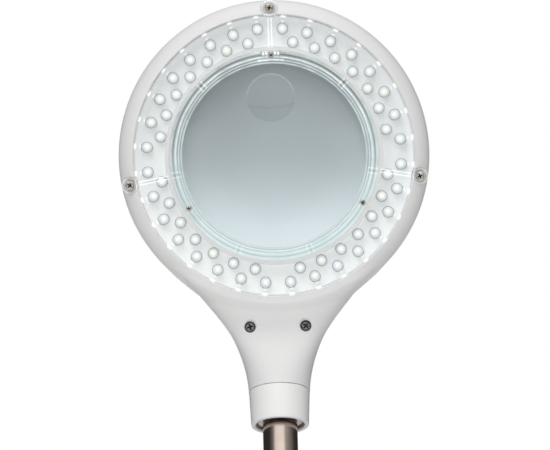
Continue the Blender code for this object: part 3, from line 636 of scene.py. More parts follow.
def turned(profile, steps=128, sector=None):
    """A lathe of (radius, height) points round Z: a closed ring, or a solid that ends on the axis.

    A sector is a first and a last angle, and its ends are closed."""
    first, last = sector or (0, math.tau)
    angles = np.linspace(first, last, steps + bool(sector), endpoint=bool(sector))
    points, rings = [], []
    for r, z in profile:
        if r < 1e-9:
            rings.append([len(points)] * len(angles))
            points.append((0, 0, z))
        else:
            rings.append(list(range(len(points), len(points) + len(angles))))
            points += [(r * math.cos(a), r * math.sin(a), z) for a in angles]
    pairs = list(zip(rings, rings[1:]))
    if min(profile[0][0], profile[-1][0]) > 1e-9:
        pairs.append((rings[-1], rings[0]))
    faces = []
    for low, high in pairs:
        for i in range(len(angles) - bool(sector)):
            j = (i + 1) % len(angles)
            corners = [low[i], low[j], high[j], high[i]]
            face = [c for n, c in enumerate(corners) if c not in corners[:n]]
            if len(face) > 2:
                faces.append(face)
    if sector:
        faces += [[ring[0] for ring in rings], [ring[-1] for ring in rings]]
    return mesh_of(points, faces)


def block(low, high, edge=0.0):
    """A box between two corners, with its edges rounded."""
    low, high = Vector(low), Vector(high)
    shape = bmesh.new()
    size = Matrix.Diagonal((*(high - low), 1))
    bmesh.ops.create_cube(shape, size=1, matrix=Matrix.Translation((low + high) / 2) @ size)
    if edge:
        bmesh.ops.bevel(shape, geom=shape.edges[:], offset=edge, segments=2, affect="EDGES")
    return stored(shape)


def rod(radius, low, high, edge=0.0, steps=48):
    """A round bar along Z with its two edges rounded."""
    return turned(rounded([(0, high), (radius, high), (radius, low), (0, low)], edge), steps)


def placed(mesh, matrix):
    mesh.transform(matrix)
    return mesh


def sideways(mesh):
    """Turned so that what ran along Z runs along X."""
    return placed(mesh, Matrix.Rotation(math.pi / 2, 4, "Y"))


def hinge_rod(radius, half, edge=0.0, steps=32):
    """A round bar on the lid's hinge, as long to each side."""
    return placed(sideways(rod(radius, -half, half, edge, steps)), Matrix.Translation(HINGE))


def joined(*meshes):
    """One mesh that holds them all, each still its own shell."""
    shape = bmesh.new()
    for mesh in meshes:
        shape.from_mesh(mesh)
    return stored(shape)


def helper(mesh):
    """An object that holds a mesh while a modifier works on it."""
    made = bpy.data.objects.new("helper", mesh)
    bpy.context.scene.collection.objects.link(made)
    return made


def result_of(obj, *others):
    """What an object's modifiers make, as a plain mesh; the objects are removed."""
    graph = bpy.context.evaluated_depsgraph_get()
    graph.update()
    mesh = bpy.data.meshes.new_from_object(obj.evaluated_get(graph))
    for one in (obj, *others):
        bpy.data.objects.remove(one)
    return mesh


def carved(mesh, *steps, solver="MANIFOLD"):
    """The mesh after its cuts and joins, each a pair of an operation and another mesh."""
    target, tools = helper(mesh), []
    for operation, other in steps:
        tools.append(helper(other))
        modifier = target.modifiers.new("Carve", "BOOLEAN")
        modifier.operation, modifier.object, modifier.solver = operation, tools[-1], solver
    made = result_of(target, *tools)
    if len(made.polygons) < 4:
        raise RuntimeError("A cut or a join left nothing of the piece")
    return made


def cut(mesh):
    return "DIFFERENCE", mesh


def add(mesh):
    return "UNION", mesh


def shifted(mesh, x=0.0, y=0.0, z=0.0):
    return placed(mesh, Matrix.Translation((x, y, z)))


def at(radius, angle, depth=0.0):
    """A place on the face: a radius and an angle about the centre, and a depth."""
    return Matrix.Translation((radius * math.cos(angle), radius * math.sin(angle), -depth))


def piece(name, mesh, finish, body, replaces=(), crease=32):
    """Puts a finished mesh in the scene, riding on its body when that is a name; otherwise it stays
    where its mesh puts it.
    """
    mesh.name = name
    if finish:
        mesh.materials.clear()
        mesh.materials.append(finish)
    mesh.polygons.foreach_set("use_smooth", [True] * len(mesh.polygons))
    mesh.set_sharp_from_angle(angle=math.radians(crease))
    made = bpy.data.objects.new(name, mesh)
    bpy.context.scene.collection.objects.link(made)
    if isinstance(body, str):
        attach(made, body)
    else:
        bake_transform(made)
    if replaces:
        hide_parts(*replaces)
    return made


# ---------------------------------------------------------------- Geometry Nodes


def node_group(name, inputs):
    """A Geometry Nodes tree with its named inputs, and the node that gives them."""
    tree = bpy.data.node_groups.new(name, "GeometryNodeTree")
    for title, kind in inputs:
        tree.interface.new_socket(title, in_out="INPUT", socket_type=kind)
    tree.interface.new_socket("Geometry", in_out="OUTPUT", socket_type="NodeSocketGeometry")
    g = Graph(tree)
    given = g.node("NodeGroupInput")
    return g, given


def close_group(g, geometry, material):
    """Ends a tree in real geometry with its material set."""
    real = g.node("GeometryNodeRealizeInstances", None, (geometry,))
    skin = g.node("GeometryNodeSetMaterial", None, {"Geometry": real, "Material": material})
    g.node("NodeGroupOutput", None, (skin,))


def grown(group, values, mesh=None):
    """What a tree makes with these inputs, as a plain mesh."""
    holder = helper(mesh or bpy.data.meshes.new("seed"))
    modifier = holder.modifiers.new("Grow", "NODES")
    modifier.node_group = group
    for item in group.interface.items_tree:
        if item.in_out == "INPUT" and item.name in values:
            modifier[item.identifier] = values[item.name]
    return result_of(holder)


def scatter_group():
    """Copies of one template on a mesh's points, turned and sized by the points' attributes."""
    g, given = node_group("Lamp copies on points", [
        ("Geometry", "NodeSocketGeometry"), ("Template", "NodeSocketObject"),
        ("Material", "NodeSocketMaterial")])
    template = g.node("GeometryNodeObjectInfo", {"transform_space": "ORIGINAL"},
                      {"Object": given.out("Template")}, out="Geometry")
    turn, size = (
        g.node("GeometryNodeInputNamedAttribute", {"data_type": kind}, {"Name": name})
        for kind, name in (("FLOAT_VECTOR", "turn"), ("FLOAT", "size")))
    copies = g.node("GeometryNodeInstanceOnPoints", None, {
        "Points": given.out("Geometry"), "Instance": template,
        "Rotation": g.node("FunctionNodeEulerToRotation", None, (turn,)), "Scale": size})
    close_group(g, copies, given.out("Material"))
    return g.tree


def scattered(template, spots, material):
    """One mesh of a template's copies; each spot is a place, three angles and a size."""
    mesh = mesh_of([], [])
    mesh.from_pydata([tuple(place) for place, _, _ in spots], [], [])
    turn = mesh.attributes.new("turn", "FLOAT_VECTOR", "POINT")
    turn.data.foreach_set("vector", [c for _, angles, _ in spots for c in angles])
    size = mesh.attributes.new("size", "FLOAT", "POINT")
    size.data.foreach_set("value", [scale for _, _, scale in spots])
    model = helper(template)
    group = bpy.data.node_groups.get("Lamp copies on points") or scatter_group()
    made = grown(group, {"Template": model, "Material": material}, mesh)
    bpy.data.objects.remove(model)
    return made


# ---------------------------------------------------------------- casing


class Form:
    """A shape as a function that is 0 on its surface and grows outwards, in metres."""

    def __init__(self, height):
        self.height = height

    def slope(self, points, step=0.02 * MM):
        here = self.height(points)
        sides = [self.height(points + step * np.eye(3)[i]) - here for i in range(3)]
        slope = np.stack(sides, axis=1)
        return here, slope / np.maximum(np.linalg.norm(slope, axis=1), 1e-12)[:, None]


def corner(a, b, wide, deep, power=2.0):
    """The distance outside a corner rounded with an ellipse, or flatter with a lower power."""
    a, b = np.maximum(a, 0) / wide, np.maximum(b, 0) / deep
    size = np.maximum((a**power + b**power) ** (1 / power), 1e-6)
    lean = np.hypot((a / size) ** (power - 1) / wide, (b / size) ** (power - 1) / deep)
    return (size - 1) / np.maximum(lean, 1e-6)


def disc_form(inset):
    """The round head, with its rim rounded in front and behind."""
    casing = bpy.context.scene.lamp_casing

    def height(p):
        r, z = np.hypot(p[:, 0], p[:, 1]), p[:, 2]
        wide, deep = 10 * MM, 9 * MM
        front = corner(r - (casing.radius - wide), z + deep, wide - inset, deep - inset, 1.7)
        back = corner(r - (casing.radius - deep), -z - casing.depth + deep,
                      deep - inset, deep - inset)
        return np.maximum(front, back)

    return Form(height)


NECK_FROM, NECK_BEND_FROM, SEAM_DROP = 62 * MM, 90 * MM, 122 * MM
SEAM_LOWER = 1.4 * MM  # how far below its swivel plane the neck ends


def neck_bend():
    return (SEAM_DROP - NECK_BEND_FROM) / math.sin(TILT)


def neck_half_width(above):
    """Half the neck's width, this far above the seam."""
    return 16 * MM + 0.074 * above + 7.83 * above**2


def neck_form(inset):
    """The neck: it narrows from the head to the seam, bends, and is sunk in front by the head."""
    casing = bpy.context.scene.lamp_casing
    middle, bend = -casing.depth / 2, neck_bend()

    def height(p):
        x, y, z = p.T
        past, inward = -NECK_BEND_FROM - y, middle + bend - z
        bent = past > 0
        outward = np.where(bent, bend - np.hypot(past, inward), z - middle)
        swing = np.where(bent, np.arctan2(past, inward), 0)
        drop = np.where(bent, NECK_BEND_FROM + bend * np.sin(swing), -y)
        above = np.maximum(0, SEAM_DROP - drop)
        along = np.where(bent, NECK_BEND_FROM - NECK_FROM + bend * swing, drop - NECK_FROM)
        share = np.clip(along / (NECK_BEND_FROM - NECK_FROM + bend * TILT), 0, 1)
        half_width = neck_half_width(above) - inset
        rise = np.clip((drop - 80 * MM) / (38 * MM), 0, 1)
        sunk = np.where(outward > 0, 5 * MM * (1 - rise**2 * (3 - 2 * rise)), 0)
        half_depth = (16.3 - 0.3 * share) * MM - sunk - inset
        power = 5 - 3 * share
        side = corner(np.abs(x), np.abs(outward), half_width, half_depth, power)
        end = (swing - TILT) * bend - 2.5 * MM
        return np.maximum(side, np.maximum(end, y + 50 * MM))

    return Form(height)


def fused(points, a, b, width, inside, rounds=10):
    """Moves points onto the surface of two forms that melt together outside a radius."""
    for _ in range(rounds):
        height_a, slope_a = a.slope(points)
        height_b, slope_b = b.slope(points)
        gap = height_a - height_b
        near = np.maximum(width - np.abs(gap), 0) / width
        crossing = np.linalg.norm(np.cross(slope_a, slope_b), axis=1)
        crossing *= np.clip((np.hypot(points[:, 0], points[:, 1]) - inside) / (5 * MM), 0, 1)
        crossing *= np.clip((-points[:, 1] - 57 * MM) / (9 * MM), 0, 1)
        height = np.minimum(height_a, height_b) - crossing * near**2 * width / 4
        share = np.clip(0.5 + 0.5 * gap / width, 0, 1)[:, None]
        slope = slope_a * (1 - share) + slope_b * share
        slope /= np.maximum(np.linalg.norm(slope, axis=1), 1e-6)[:, None]
        step = np.clip(height, -1 * MM, 1 * MM)
        points = points - step[:, None] * slope
    return points


def casing_blank(inset, grid):
    """The solid head and neck, or the hollow inside them when inset is the wall."""
    casing = bpy.context.scene.lamp_casing
    a, b = disc_form(inset), neck_form(inset)
    disc = [(0, -inset), (casing.radius - 4 * MM - inset, -inset), (casing.radius - inset, -7 * MM),
            (casing.radius - inset, 7 * MM - casing.depth),
            (casing.radius - 6 * MM - inset, inset - casing.depth), (0, inset - casing.depth)]
    bend, middle = neck_bend(), -casing.depth / 2
    rings = []
    for drop in np.linspace(NECK_FROM, SEAM_DROP + 2 * MM, 24):
        swing = math.asin(max(0, drop - NECK_BEND_FROM) / bend)
        out = middle + bend * (1 - math.cos(swing))
        above = max(0, SEAM_DROP - drop)
        half = neck_half_width(above) - inset
        share = min(1, max(0, (drop - NECK_FROM) / (SEAM_DROP - NECK_FROM)))
        power = 2 / (5 - 3 * share)
        ring = []
        for k in range(48):
            c, s = math.cos(math.tau * k / 48), math.sin(math.tau * k / 48)
            side = math.copysign(abs(c) ** power, c) * half
            front = math.copysign(abs(s) ** power, s) * (16 * MM - inset)
            ring.append((side, -drop + front * math.sin(swing), out + front * math.cos(swing)))
        rings.append(ring)
    points = [p for ring in rings for p in ring]
    count = len(rings[0])
    faces = [(r * count + i, r * count + (i + 1) % count, (r + 1) * count + (i + 1) % count,
              (r + 1) * count + i) for r in range(len(rings) - 1) for i in range(count)]
    faces += [tuple(range(count)), tuple(range(len(points) - count, len(points)))]
    rough = helper(joined(turned(disc, 96), mesh_of(points, faces)))
    remesh = rough.modifiers.new("Even", "REMESH")
    remesh.mode, remesh.voxel_size = "VOXEL", grid
    mesh = result_of(rough)
    places = np.empty(len(mesh.vertices) * 3)
    mesh.vertices.foreach_get("co", places)
    moved = fused(places.reshape(-1, 3), a, b, casing.blend, casing.radius - 9 * MM)
    mesh.vertices.foreach_set("co", moved.ravel())
    mesh.update()
    return mesh


def beyond(matrix):
    """A large block that fills everything past a plane: below Z = 0 in matrix's frame."""
    far = 0.4
    return placed(block((-far, -far, -far), (far, far, 0)), matrix)


def casing_half(blank, hollow, front):
    """The blank of one shell, and its cuts: the hollow, the parting plane and the neck's seam."""
    casing = bpy.context.scene.lamp_casing
    gap, over = (0.15 * MM, 0) if front else (-0.15 * MM, math.pi)
    keep = beyond(Matrix.Translation((0, 0, gap - casing.parting)) @ Matrix.Rotation(over, 4, "X"))
    seam = beyond(FACE.inverted() @ COLLAR @ Matrix.Translation((0, 0, -SEAM_LOWER)))
    return [blank.copy(), cut(hollow.copy()), cut(keep), cut(seam)]


def front_steps():
    """The cuts that shape the front housing behind the cover and round the lens."""
    light = bpy.context.scene.lamp_light
    seat, floor, rim = -2.1 * MM, -13.2 * MM, light.cover_radius + 0.05 * MM
    past = 3 * MM
    recess = [(0, past), (rim + past + 0.4 * MM, past), (rim, -0.4 * MM), (rim, seat), (0, seat)]
    inner, outer, hole = 56.7 * MM, 72.3 * MM, 54.9 * MM
    trough = rounded([(inner, 0), (outer, 0), (outer, floor), (inner, floor)], 0.2 * MM)
    well = rounded([(0, past), (hole, past), (hole, floor), (0, floor)], 0.1 * MM)
    steps = [cut(turned(recess, 192)), cut(turned(trough, 192)), cut(turned(well, 192)),
             cut(turned([(0, past), (48 * MM, past), (48 * MM, -40 * MM), (0, -40 * MM)], 160))]
    for angle in TAB_ANGLES:
        wide, deep = 4.5 * MM, -4.6 * MM
        pocket = [(0, past), (wide, past), (wide, deep), (0, deep)]
        steps.append(cut(placed(turned(pocket, 64), at(TAB_REACH, angle))))
        steps.append(cut(placed(rod(1.5 * MM, -11.5 * MM, past, steps=24), at(TAB_REACH, angle))))
    across, drop = NECK_SCREWS
    for side in (-1, 1):
        sink = [(0, past), (6.4 * MM + past, past), (3 * MM, -3.8 * MM), (3 * MM, -8 * MM),
                (0, -8 * MM)]
        steps.append(add(shifted(rod(4.6 * MM, -16.8 * MM, -5.5 * MM), side * across, -drop)))
        steps.append(cut(shifted(turned(sink, 64), side * across, -drop)))
        steps.append(cut(shifted(rod(1.5 * MM, -20 * MM, 0, steps=24), side * across, -drop)))
    return steps


def rear_steps():
    """The wall round the rear opening, the hinge's ears and the button's hole."""
    tube = [(59.5 * MM, -15.6 * MM), (59.5 * MM, BACK + 1 * MM), (57 * MM, BACK + 1 * MM),
            (57 * MM, -15.6 * MM)]
    opening = [(0, -10 * MM), (57.5 * MM, -10 * MM), (57.5 * MM, BACK + 0.5 * MM),
               (58.5 * MM, BACK - 0.5 * MM), (58.5 * MM, BACK - 3 * MM), (0, BACK - 3 * MM)]
    steps = [add(turned(tube, 160)), cut(turned(opening, 160))]
    for side in (-1, 1):
        ends = sorted((side * 7.3 * MM, side * 13 * MM))
        foot = block((ends[0], HINGE.y - 2.8 * MM, HINGE.z),
                     (ends[1], HINGE.y + 2.8 * MM, BACK + 1 * MM))
        ear = sideways(rod(2.9 * MM, ends[0], ends[1], 0.4 * MM))
        steps += [add(foot), add(placed(ear, Matrix.Translation(HINGE)))]
    steps.append(cut(hinge_rod(1.35 * MM, 16 * MM)))
    well = [(0, BACK + 3 * MM), (5.3 * MM, BACK + 3 * MM), (5.3 * MM, BACK + 0.4 * MM),
            (5.9 * MM, BACK - 0.2 * MM), (8.7 * MM, BACK - 3 * MM), (0, BACK - 3 * MM)]
    steps.append(cut(shifted(turned(well, 64), 0, -BUTTON_DROP)))
    return steps


class LAMP_OT_casing(bpy.types.Operator):
    """Make the two halves of the head's casing"""

    bl_idname = "lamp.casing"
    bl_label = "Casing"

    def execute(self, context):
        casing = context.scene.lamp_casing
        blank = casing_blank(0, casing.grid)
        hollow = casing_blank(casing.wall, 2.5 * MM)
        floor = [(0, 6 * MM), (80 * MM, 6 * MM), (80 * MM, -15.2 * MM), (0, -15.2 * MM)]
        front_hollow = carved(hollow.copy(), cut(turned(floor, 96)))
        plastic = white_plastic()
        target, *steps = casing_half(blank, front_hollow, True)
        front = carved(target, *steps, *front_steps())
        piece("casing_front", placed(front, FACE), plastic, "head",
              ["front_housing"])
        target, *steps = casing_half(blank, hollow, False)
        rear = carved(target, *steps, *rear_steps())
        piece("casing_rear", placed(rear, FACE), plastic, "head", ["rear_housing"])
        return {"FINISHED"}


# ---------------------------------------------------------------- light ring and lens


class LAMP_OT_cover(bpy.types.Operator):
    """Make the clear cover of the light ring, with its three screw tabs"""

    bl_idname = "lamp.cover"
    bl_label = "Clear cover"

    def execute(self, context):
        light = context.scene.lamp_light
        rim, hole, deep = light.cover_radius, light.cover_hole, 1.8 * MM
        ring = [(hole, 0.1 * MM), (hole + 0.4 * MM, 0.2 * MM), (hole + 1.1 * MM, 0.2 * MM),
                (hole + 1.5 * MM, 0), (rim, 0), (rim, -deep), (hole, -deep)]
        steps = []
        for angle in TAB_ANGLES:
            here = at(TAB_REACH, angle)
            steps.append(add(placed(rod(4.2 * MM, -4.5 * MM, -0.1 * MM, 0.4 * MM, 64), here)))
            steps.append(cut(placed(rod(1.5 * MM, -6 * MM, 2 * MM, steps=32), here)))
            for side in (-0.85, 0.85):
                rib = block((57.6 * MM, (side - 0.28) * MM, -deep - 0.7 * MM),
                            (71.9 * MM, (side + 0.28) * MM, 0.2 * MM - deep))
                steps.append(add(placed(rib, spun(angle))))
        mesh = carved(turned(rounded(ring, 0.35 * MM), 224), *steps)
        finish = clear_plastic("cover_plastic", (0.975, 0.985, 0.985), 0.03, cover_marks)
        piece("led_cover_clear", placed(mesh, FACE), finish, "head", ["led_cover"])
        return {"FINISHED"}


def led_template():
    """One LED with its foot at Z = 0; "out" is 0 on its axis and 1 at the foot's rim."""
    bulb = bpy.context.scene.lamp_light.bulb
    foot = bulb * 1.2
    dome = [(r, z) for r, z in bow((0, 5.9 * MM), (bulb, bulb), 0, 90, 5)]
    dome[-1] = (0, dome[-1][1])
    profile = [(0, 0), (foot, 0), (foot, 0.9 * MM), (bulb * 1.02, 1 * MM), *dome]
    mesh = turned(profile, 24)
    out = mesh.attributes.new("out", "FLOAT", "POINT")
    out.data.foreach_set("value", [math.hypot(v.co.x, v.co.y) / foot for v in mesh.vertices])
    return mesh


def led_rows_group():
    """Two rings of LEDs: a full outer one, and an inner one with a gap at every quarter."""
    g, given = node_group("Lamp LED rows", [
        ("Template", "NodeSocketObject"), ("Material", "NodeSocketMaterial"),
        ("Outer radius", "NodeSocketFloat"), ("Inner radius", "NodeSocketFloat"),
        ("Places", "NodeSocketInt"), ("Height", "NodeSocketFloat"), ("Turn", "NodeSocketFloat"),
        ("Seed", "NodeSocketInt")])
    places, height, turn = given.out("Places"), given.out("Height"), given.out("Turn")
    rows = []
    for title, shift in (("Outer radius", 0.5), ("Inner radius", 0.0)):
        ring = g.node("GeometryNodeMeshCircle", None,
                      {"Vertices": places, "Radius": given.out(title)})
        spin = g.node("ShaderNodeCombineXYZ", None, {"Z": turn + (shift * math.tau) / places})
        up = g.node("ShaderNodeCombineXYZ", None, {"Z": height})
        if not shift:
            index = g.node("GeometryNodeInputIndex")
            quarter = index.math("MODULO", places / 4)
            ring = g.node("GeometryNodeDeleteGeometry", {"domain": "POINT"},
                          {"Geometry": ring, "Selection": quarter.math("LESS_THAN", 0.5)})
        rows.append(g.node("GeometryNodeTransform", None, {
            "Geometry": ring, "Translation": up, "Rotation": spin}))
    points = g.node("GeometryNodeJoinGeometry", None, (rows,))
    tone = g.node("FunctionNodeRandomValue", {"data_type": "FLOAT"},
                  {"Seed": given.out("Seed")}, out=1)
    points = g.node("GeometryNodeStoreNamedAttribute", {"data_type": "FLOAT", "domain": "POINT"},
                    {"Geometry": points, "Name": "tone", "Value": tone})
    template = g.node("GeometryNodeObjectInfo", {"transform_space": "ORIGINAL"},
                      {"Object": given.out("Template")}, out="Geometry")
    copies = g.node("GeometryNodeInstanceOnPoints", None, {"Points": points, "Instance": template})
    close_group(g, copies, given.out("Material"))
    return g.tree


class LAMP_OT_light(bpy.types.Operator):
    """Make the board of the light ring and its two rows of LEDs"""

    bl_idname = "lamp.light"
    bl_label = "LED ring"

    def execute(self, context):
        light = context.scene.lamp_light
        face, back = -11.3 * MM, -12.9 * MM
        board = [(71.9 * MM, face), (71.9 * MM, back), (57.3 * MM, back), (57.3 * MM, face)]
        mesh = turned(rounded(board, 0.15 * MM), 160)
        piece("light_board", placed(mesh, FACE), light_plate(), "head", ["led_board"])
        model = helper(led_template())
        leds = grown(led_rows_group(), {
            "Template": model, "Material": led_epoxy(), "Outer radius": light.outer_row,
            "Inner radius": light.inner_row, "Places": light.places, "Height": face - 0.1 * MM,
            "Turn": COVER_TURN, "Seed": light.seed})
        bpy.data.objects.remove(model)
        piece("leds", placed(leds, FACE), None, "head")
        return {"FINISHED"}


def lens_fall(radius):
    """How far a face of the lens falls away at this radius."""
    return radius**2 / (2 * bpy.context.scene.lamp_lens.curve)


class LAMP_OT_lens(bpy.types.Operator):
    """Make the lens with its stronger insert, and the clear ring that clamps it"""

    bl_idname = "lamp.lens"
    bl_label = "Lens and clamp ring"

    def execute(self, context):
        lens = context.scene.lamp_lens
        bulge, front, back = lens_fall(lens.radius), -10.7 * MM, -12.9 * MM
        radii = np.linspace(0, lens.radius, 24)
        profile = [(r, front + bulge - lens_fall(r)) for r in radii]
        profile += [(r, back - bulge + lens_fall(r)) for r in radii[::-1]]
        cap = [(lens.insert * t, 1.3 * MM * (1 - t * t)) for t in np.linspace(0, 1, 10)]
        cap += [(lens.insert, -1.2 * MM), (0, -1.2 * MM)]
        height = front + bulge - lens_fall(lens.insert_up)
        spot = insert_place() @ Matrix.Translation((0, 0, height)) @ Matrix.Rotation(
            -lens.insert_up / lens.curve, 4, "X")
        mesh = carved(turned(profile, 160), add(placed(turned(cap, 96), spot)))
        glass = clear_plastic("lens_glass", tuple(lens.tint), 0.0, lens_marks, 1.5)
        piece("lens_glass", placed(mesh, FACE), glass, "head", ["lens"], crease=20)
        plastic = clear_plastic("clamp_plastic", tuple(lens.ring_tint), 0.03, clamp_marks)
        piece("clamp_ring", placed(self.clamp_ring(), FACE), plastic, "head",
              ["lens_retainer"])
        return {"FINISHED"}

    def clamp_ring(self):
        """Three clear steps down to the lens, with breaks, and a screwed clip at the top."""
        top, middle, low, foot = -3.0 * MM, -5.6 * MM, -8.2 * MM, -12.9 * MM
        inner, outer = 47.9 * MM, 54.6 * MM
        ring = [(outer, top), (outer, foot), (50.3 * MM, foot), (50.3 * MM, -10.1 * MM),
                (inner, -10.1 * MM), (inner, low), (49.6 * MM, low), (49.6 * MM, middle),
                (51.4 * MM, middle), (51.4 * MM, top)]
        steps = []
        for angle in NOTCH_ANGLES:
            notch = block((49.0 * MM, -0.5 * MM, low + 0.6 * MM), (58 * MM, 0.5 * MM, 0))
            steps.append(cut(placed(notch, spun(angle))))
        upward = CLAMP_ANGLES[0]
        half = math.radians(9.5)
        way = [(50.6 * MM, 0), (58 * MM, 0), (58 * MM, middle), (50.6 * MM, middle)]
        steps.append(cut(turned(way, 24, (upward - half, upward + half))))
        under = middle - 0.2 * MM
        clip = [(51.2 * MM, under), (54.5 * MM, under), (54.5 * MM, -3.4 * MM),
                (51.2 * MM, -3.9 * MM)]
        half = math.radians(5.2)
        steps.append(add(turned(rounded(clip, 0.2 * MM), 20, (upward - half, upward + half))))
        for offset in (-4.3, -2.6, 2.6, 4.3):
            post = rod(0.6 * MM, -4.6 * MM, -2.2 * MM, 0.15 * MM, 20)
            steps.append(add(placed(post, at(53.1 * MM, upward + math.radians(offset)))))
        for angle in CLAMP_ANGLES:
            steps.append(cut(placed(rod(1.2 * MM, -9 * MM, 0, steps=24), at(CLAMP_REACH, angle))))
        return carved(turned(rounded(ring, 0.25 * MM), 224), *steps)


# ---------------------------------------------------------------- screws


def screw_template():
    """A pan-head screw with a cross recess, with a head of radius 1, its seat on Z = 0."""
    head = [(0, 0.56), *bow((0.62, 0.14), (0.38, 0.40), 78, 0, 6), (1, 0), (0.5, 0), (0.5, -3.6),
            (0.28, -4.2), (0, -4.2)]
    steps = []
    for turn in (0, math.pi / 2):
        slot = bmesh.new()
        bmesh.ops.create_cube(slot, size=1)
        for v in slot.verts:
            long, wide, z = (0.74, 0.20, 0.8) if v.co.z > 0 else (0.34, 0.12, 0.05)
            v.co = (math.copysign(long, v.co.x), math.copysign(wide, v.co.y), z)
        steps.append(cut(placed(stored(slot), spun(turn))))
    made = carved(turned(head, 40), *steps)
    # deep marks the cross recess, which the screw finish fills with painted shade
    deep = made.attributes.new("deep", "FLOAT", "POINT")
    deep.data.foreach_set("value", [float(v.co.z < 0.45 and math.hypot(v.co.x, v.co.y) < 0.5)
                                    for v in made.vertices])
    return made


class LAMP_OT_screws(bpy.types.Operator):
    """Make every screw that shows, from one template"""

    bl_idname = "lamp.screws"
    bl_label = "Screws"

    def execute(self, context):
        metal = screw_metal("screw_metal", (0.80, 0.75, 0.69), (0.42, 0.36, 0.30))
        dark = screw_metal("screw_metal_dark", (0.34, 0.33, 0.32), (0.17, 0.165, 0.16))
        spots = [(at(TAB_REACH, angle, -0.1 * MM).to_translation(), (0, 0, 0.5 + i), 2.3 * MM)
                 for i, angle in enumerate(TAB_ANGLES, 1)]
        spots += [(at(CLAMP_REACH, angle, 2.9 * MM).to_translation(), (0, 0, 0.9 * i), 1.55 * MM)
                  for i, angle in enumerate(CLAMP_ANGLES, 1)]
        nodes = [f"{kind}_screw_{i}" for kind in ("cover", "retainer") for i in (1, 2, 3)]
        mesh = scattered(screw_template(), spots, metal)
        piece("head_screws", placed(mesh, FACE), None, "head", nodes)
        across, drop = NECK_SCREWS
        spots = [((side * across, -drop, -7.2 * MM), (0, 0, 0.6 + side * 0.3), 2.6 * MM)
                 for side in (-1, 1)]
        mesh = scattered(screw_template(), spots, dark)
        piece("neck_screws", placed(mesh, FACE), None, "head",
              ["neck_screw_1", "neck_screw_2"])
        spots = [(at(60 * MM, math.radians(45 + 90 * i), -5.7 * MM).to_translation(),
                  (math.pi, 0, 0.4 * i), 3.4 * MM) for i in range(4)]
        mesh = scattered(screw_template(), spots, metal)
        piece("base_screws", mesh, None, "base", [f"base_screw_{i}" for i in range(1, 5)])
        return {"FINISHED"}


# ---------------------------------------------------------------- lid and button


class LAMP_OT_lid(bpy.types.Operator):
    """Make the domed lid behind the lens, its hinge pin and the push button"""

    bl_idname = "lamp.lid"
    bl_label = "Lid and button"

    def execute(self, context):
        rim, crown = -33.3 * MM, -39.5 * MM
        outer = [(60 * MM * t, crown + 2.8 * MM * t * t) for t in np.linspace(0, 1, 20)]
        edge = bow((60 * MM, -34.3 * MM), (4 * MM, 2.4 * MM), -90, 0, 8)[1:]
        inner = [(58 * MM * t, crown + 2 * MM + 1.8 * MM * t * t) for t in np.linspace(1, 0, 16)]
        profile = [*outer, *edge, (64 * MM, rim), (62 * MM, rim), (61.4 * MM, -34.6 * MM), *inner]
        knuckle = hinge_rod(2.8 * MM, 7 * MM, 0.4 * MM, 48)
        tongue = block((-6.9 * MM, 62.5 * MM, HINGE.z - 1.3 * MM),
                       (6.9 * MM, HINGE.y, HINGE.z + 1.3 * MM))
        grip = block((-8 * MM, -67 * MM, -35.5 * MM), (8 * MM, -62.5 * MM, -33.4 * MM), 0.5 * MM)
        bore = hinge_rod(1.35 * MM, 14 * MM)
        mesh = carved(turned(profile, 160), add(tongue), add(knuckle), add(grip), cut(bore))
        rib = block((-0.35 * MM, -1.6 * MM, -0.35 * MM), (0.35 * MM, 1.6 * MM, 0.15 * MM),
                    0.12 * MM)
        # the lid's inner face has painted shade and painted light
        plastic = white_plastic("lid_plastic", shaded_inside)
        spots = [((x * 1.7 * MM, -65.2 * MM, -35.5 * MM), (0, 0, 0), 1) for x in range(-4, 5)]
        ribs = scattered(rib, spots, plastic)
        piece("lid", placed(joined(mesh, ribs), FACE), plastic, "lid",
              ["lens_lid"])
        pin = hinge_rod(1.2 * MM, 13.5 * MM, 0.3 * MM)
        piece("hinge_pin_round", placed(pin, FACE), bpy.data.materials["screw_metal"], "head",
              ["hinge_pin"])
        low, flange, seat, dip = -34.5 * MM, -28.5 * MM, -27 * MM, 3.9 * MM
        dish = [(r, low + 0.35 * MM * (1 - (r / dip) ** 2)) for r in np.linspace(dip, 0, 10)]
        cap = [(0, seat), (6.2 * MM, seat), (6.2 * MM, flange), (5 * MM, flange),
               *bow((4.4 * MM, low + 0.6 * MM), (0.6 * MM, 0.6 * MM), 0, -90, 5), *dish]
        button = shifted(turned(cap, 64), 0, -BUTTON_DROP)
        black = speckled("button_plastic", (0.022, 0.022, 0.024), (0.032, 0.032, 0.034), 90, 0.38)
        piece("button_cap", placed(button, FACE), black, "button",
              ["switch_button"])
        return {"FINISHED"}


# ---------------------------------------------------------------- collar and arm


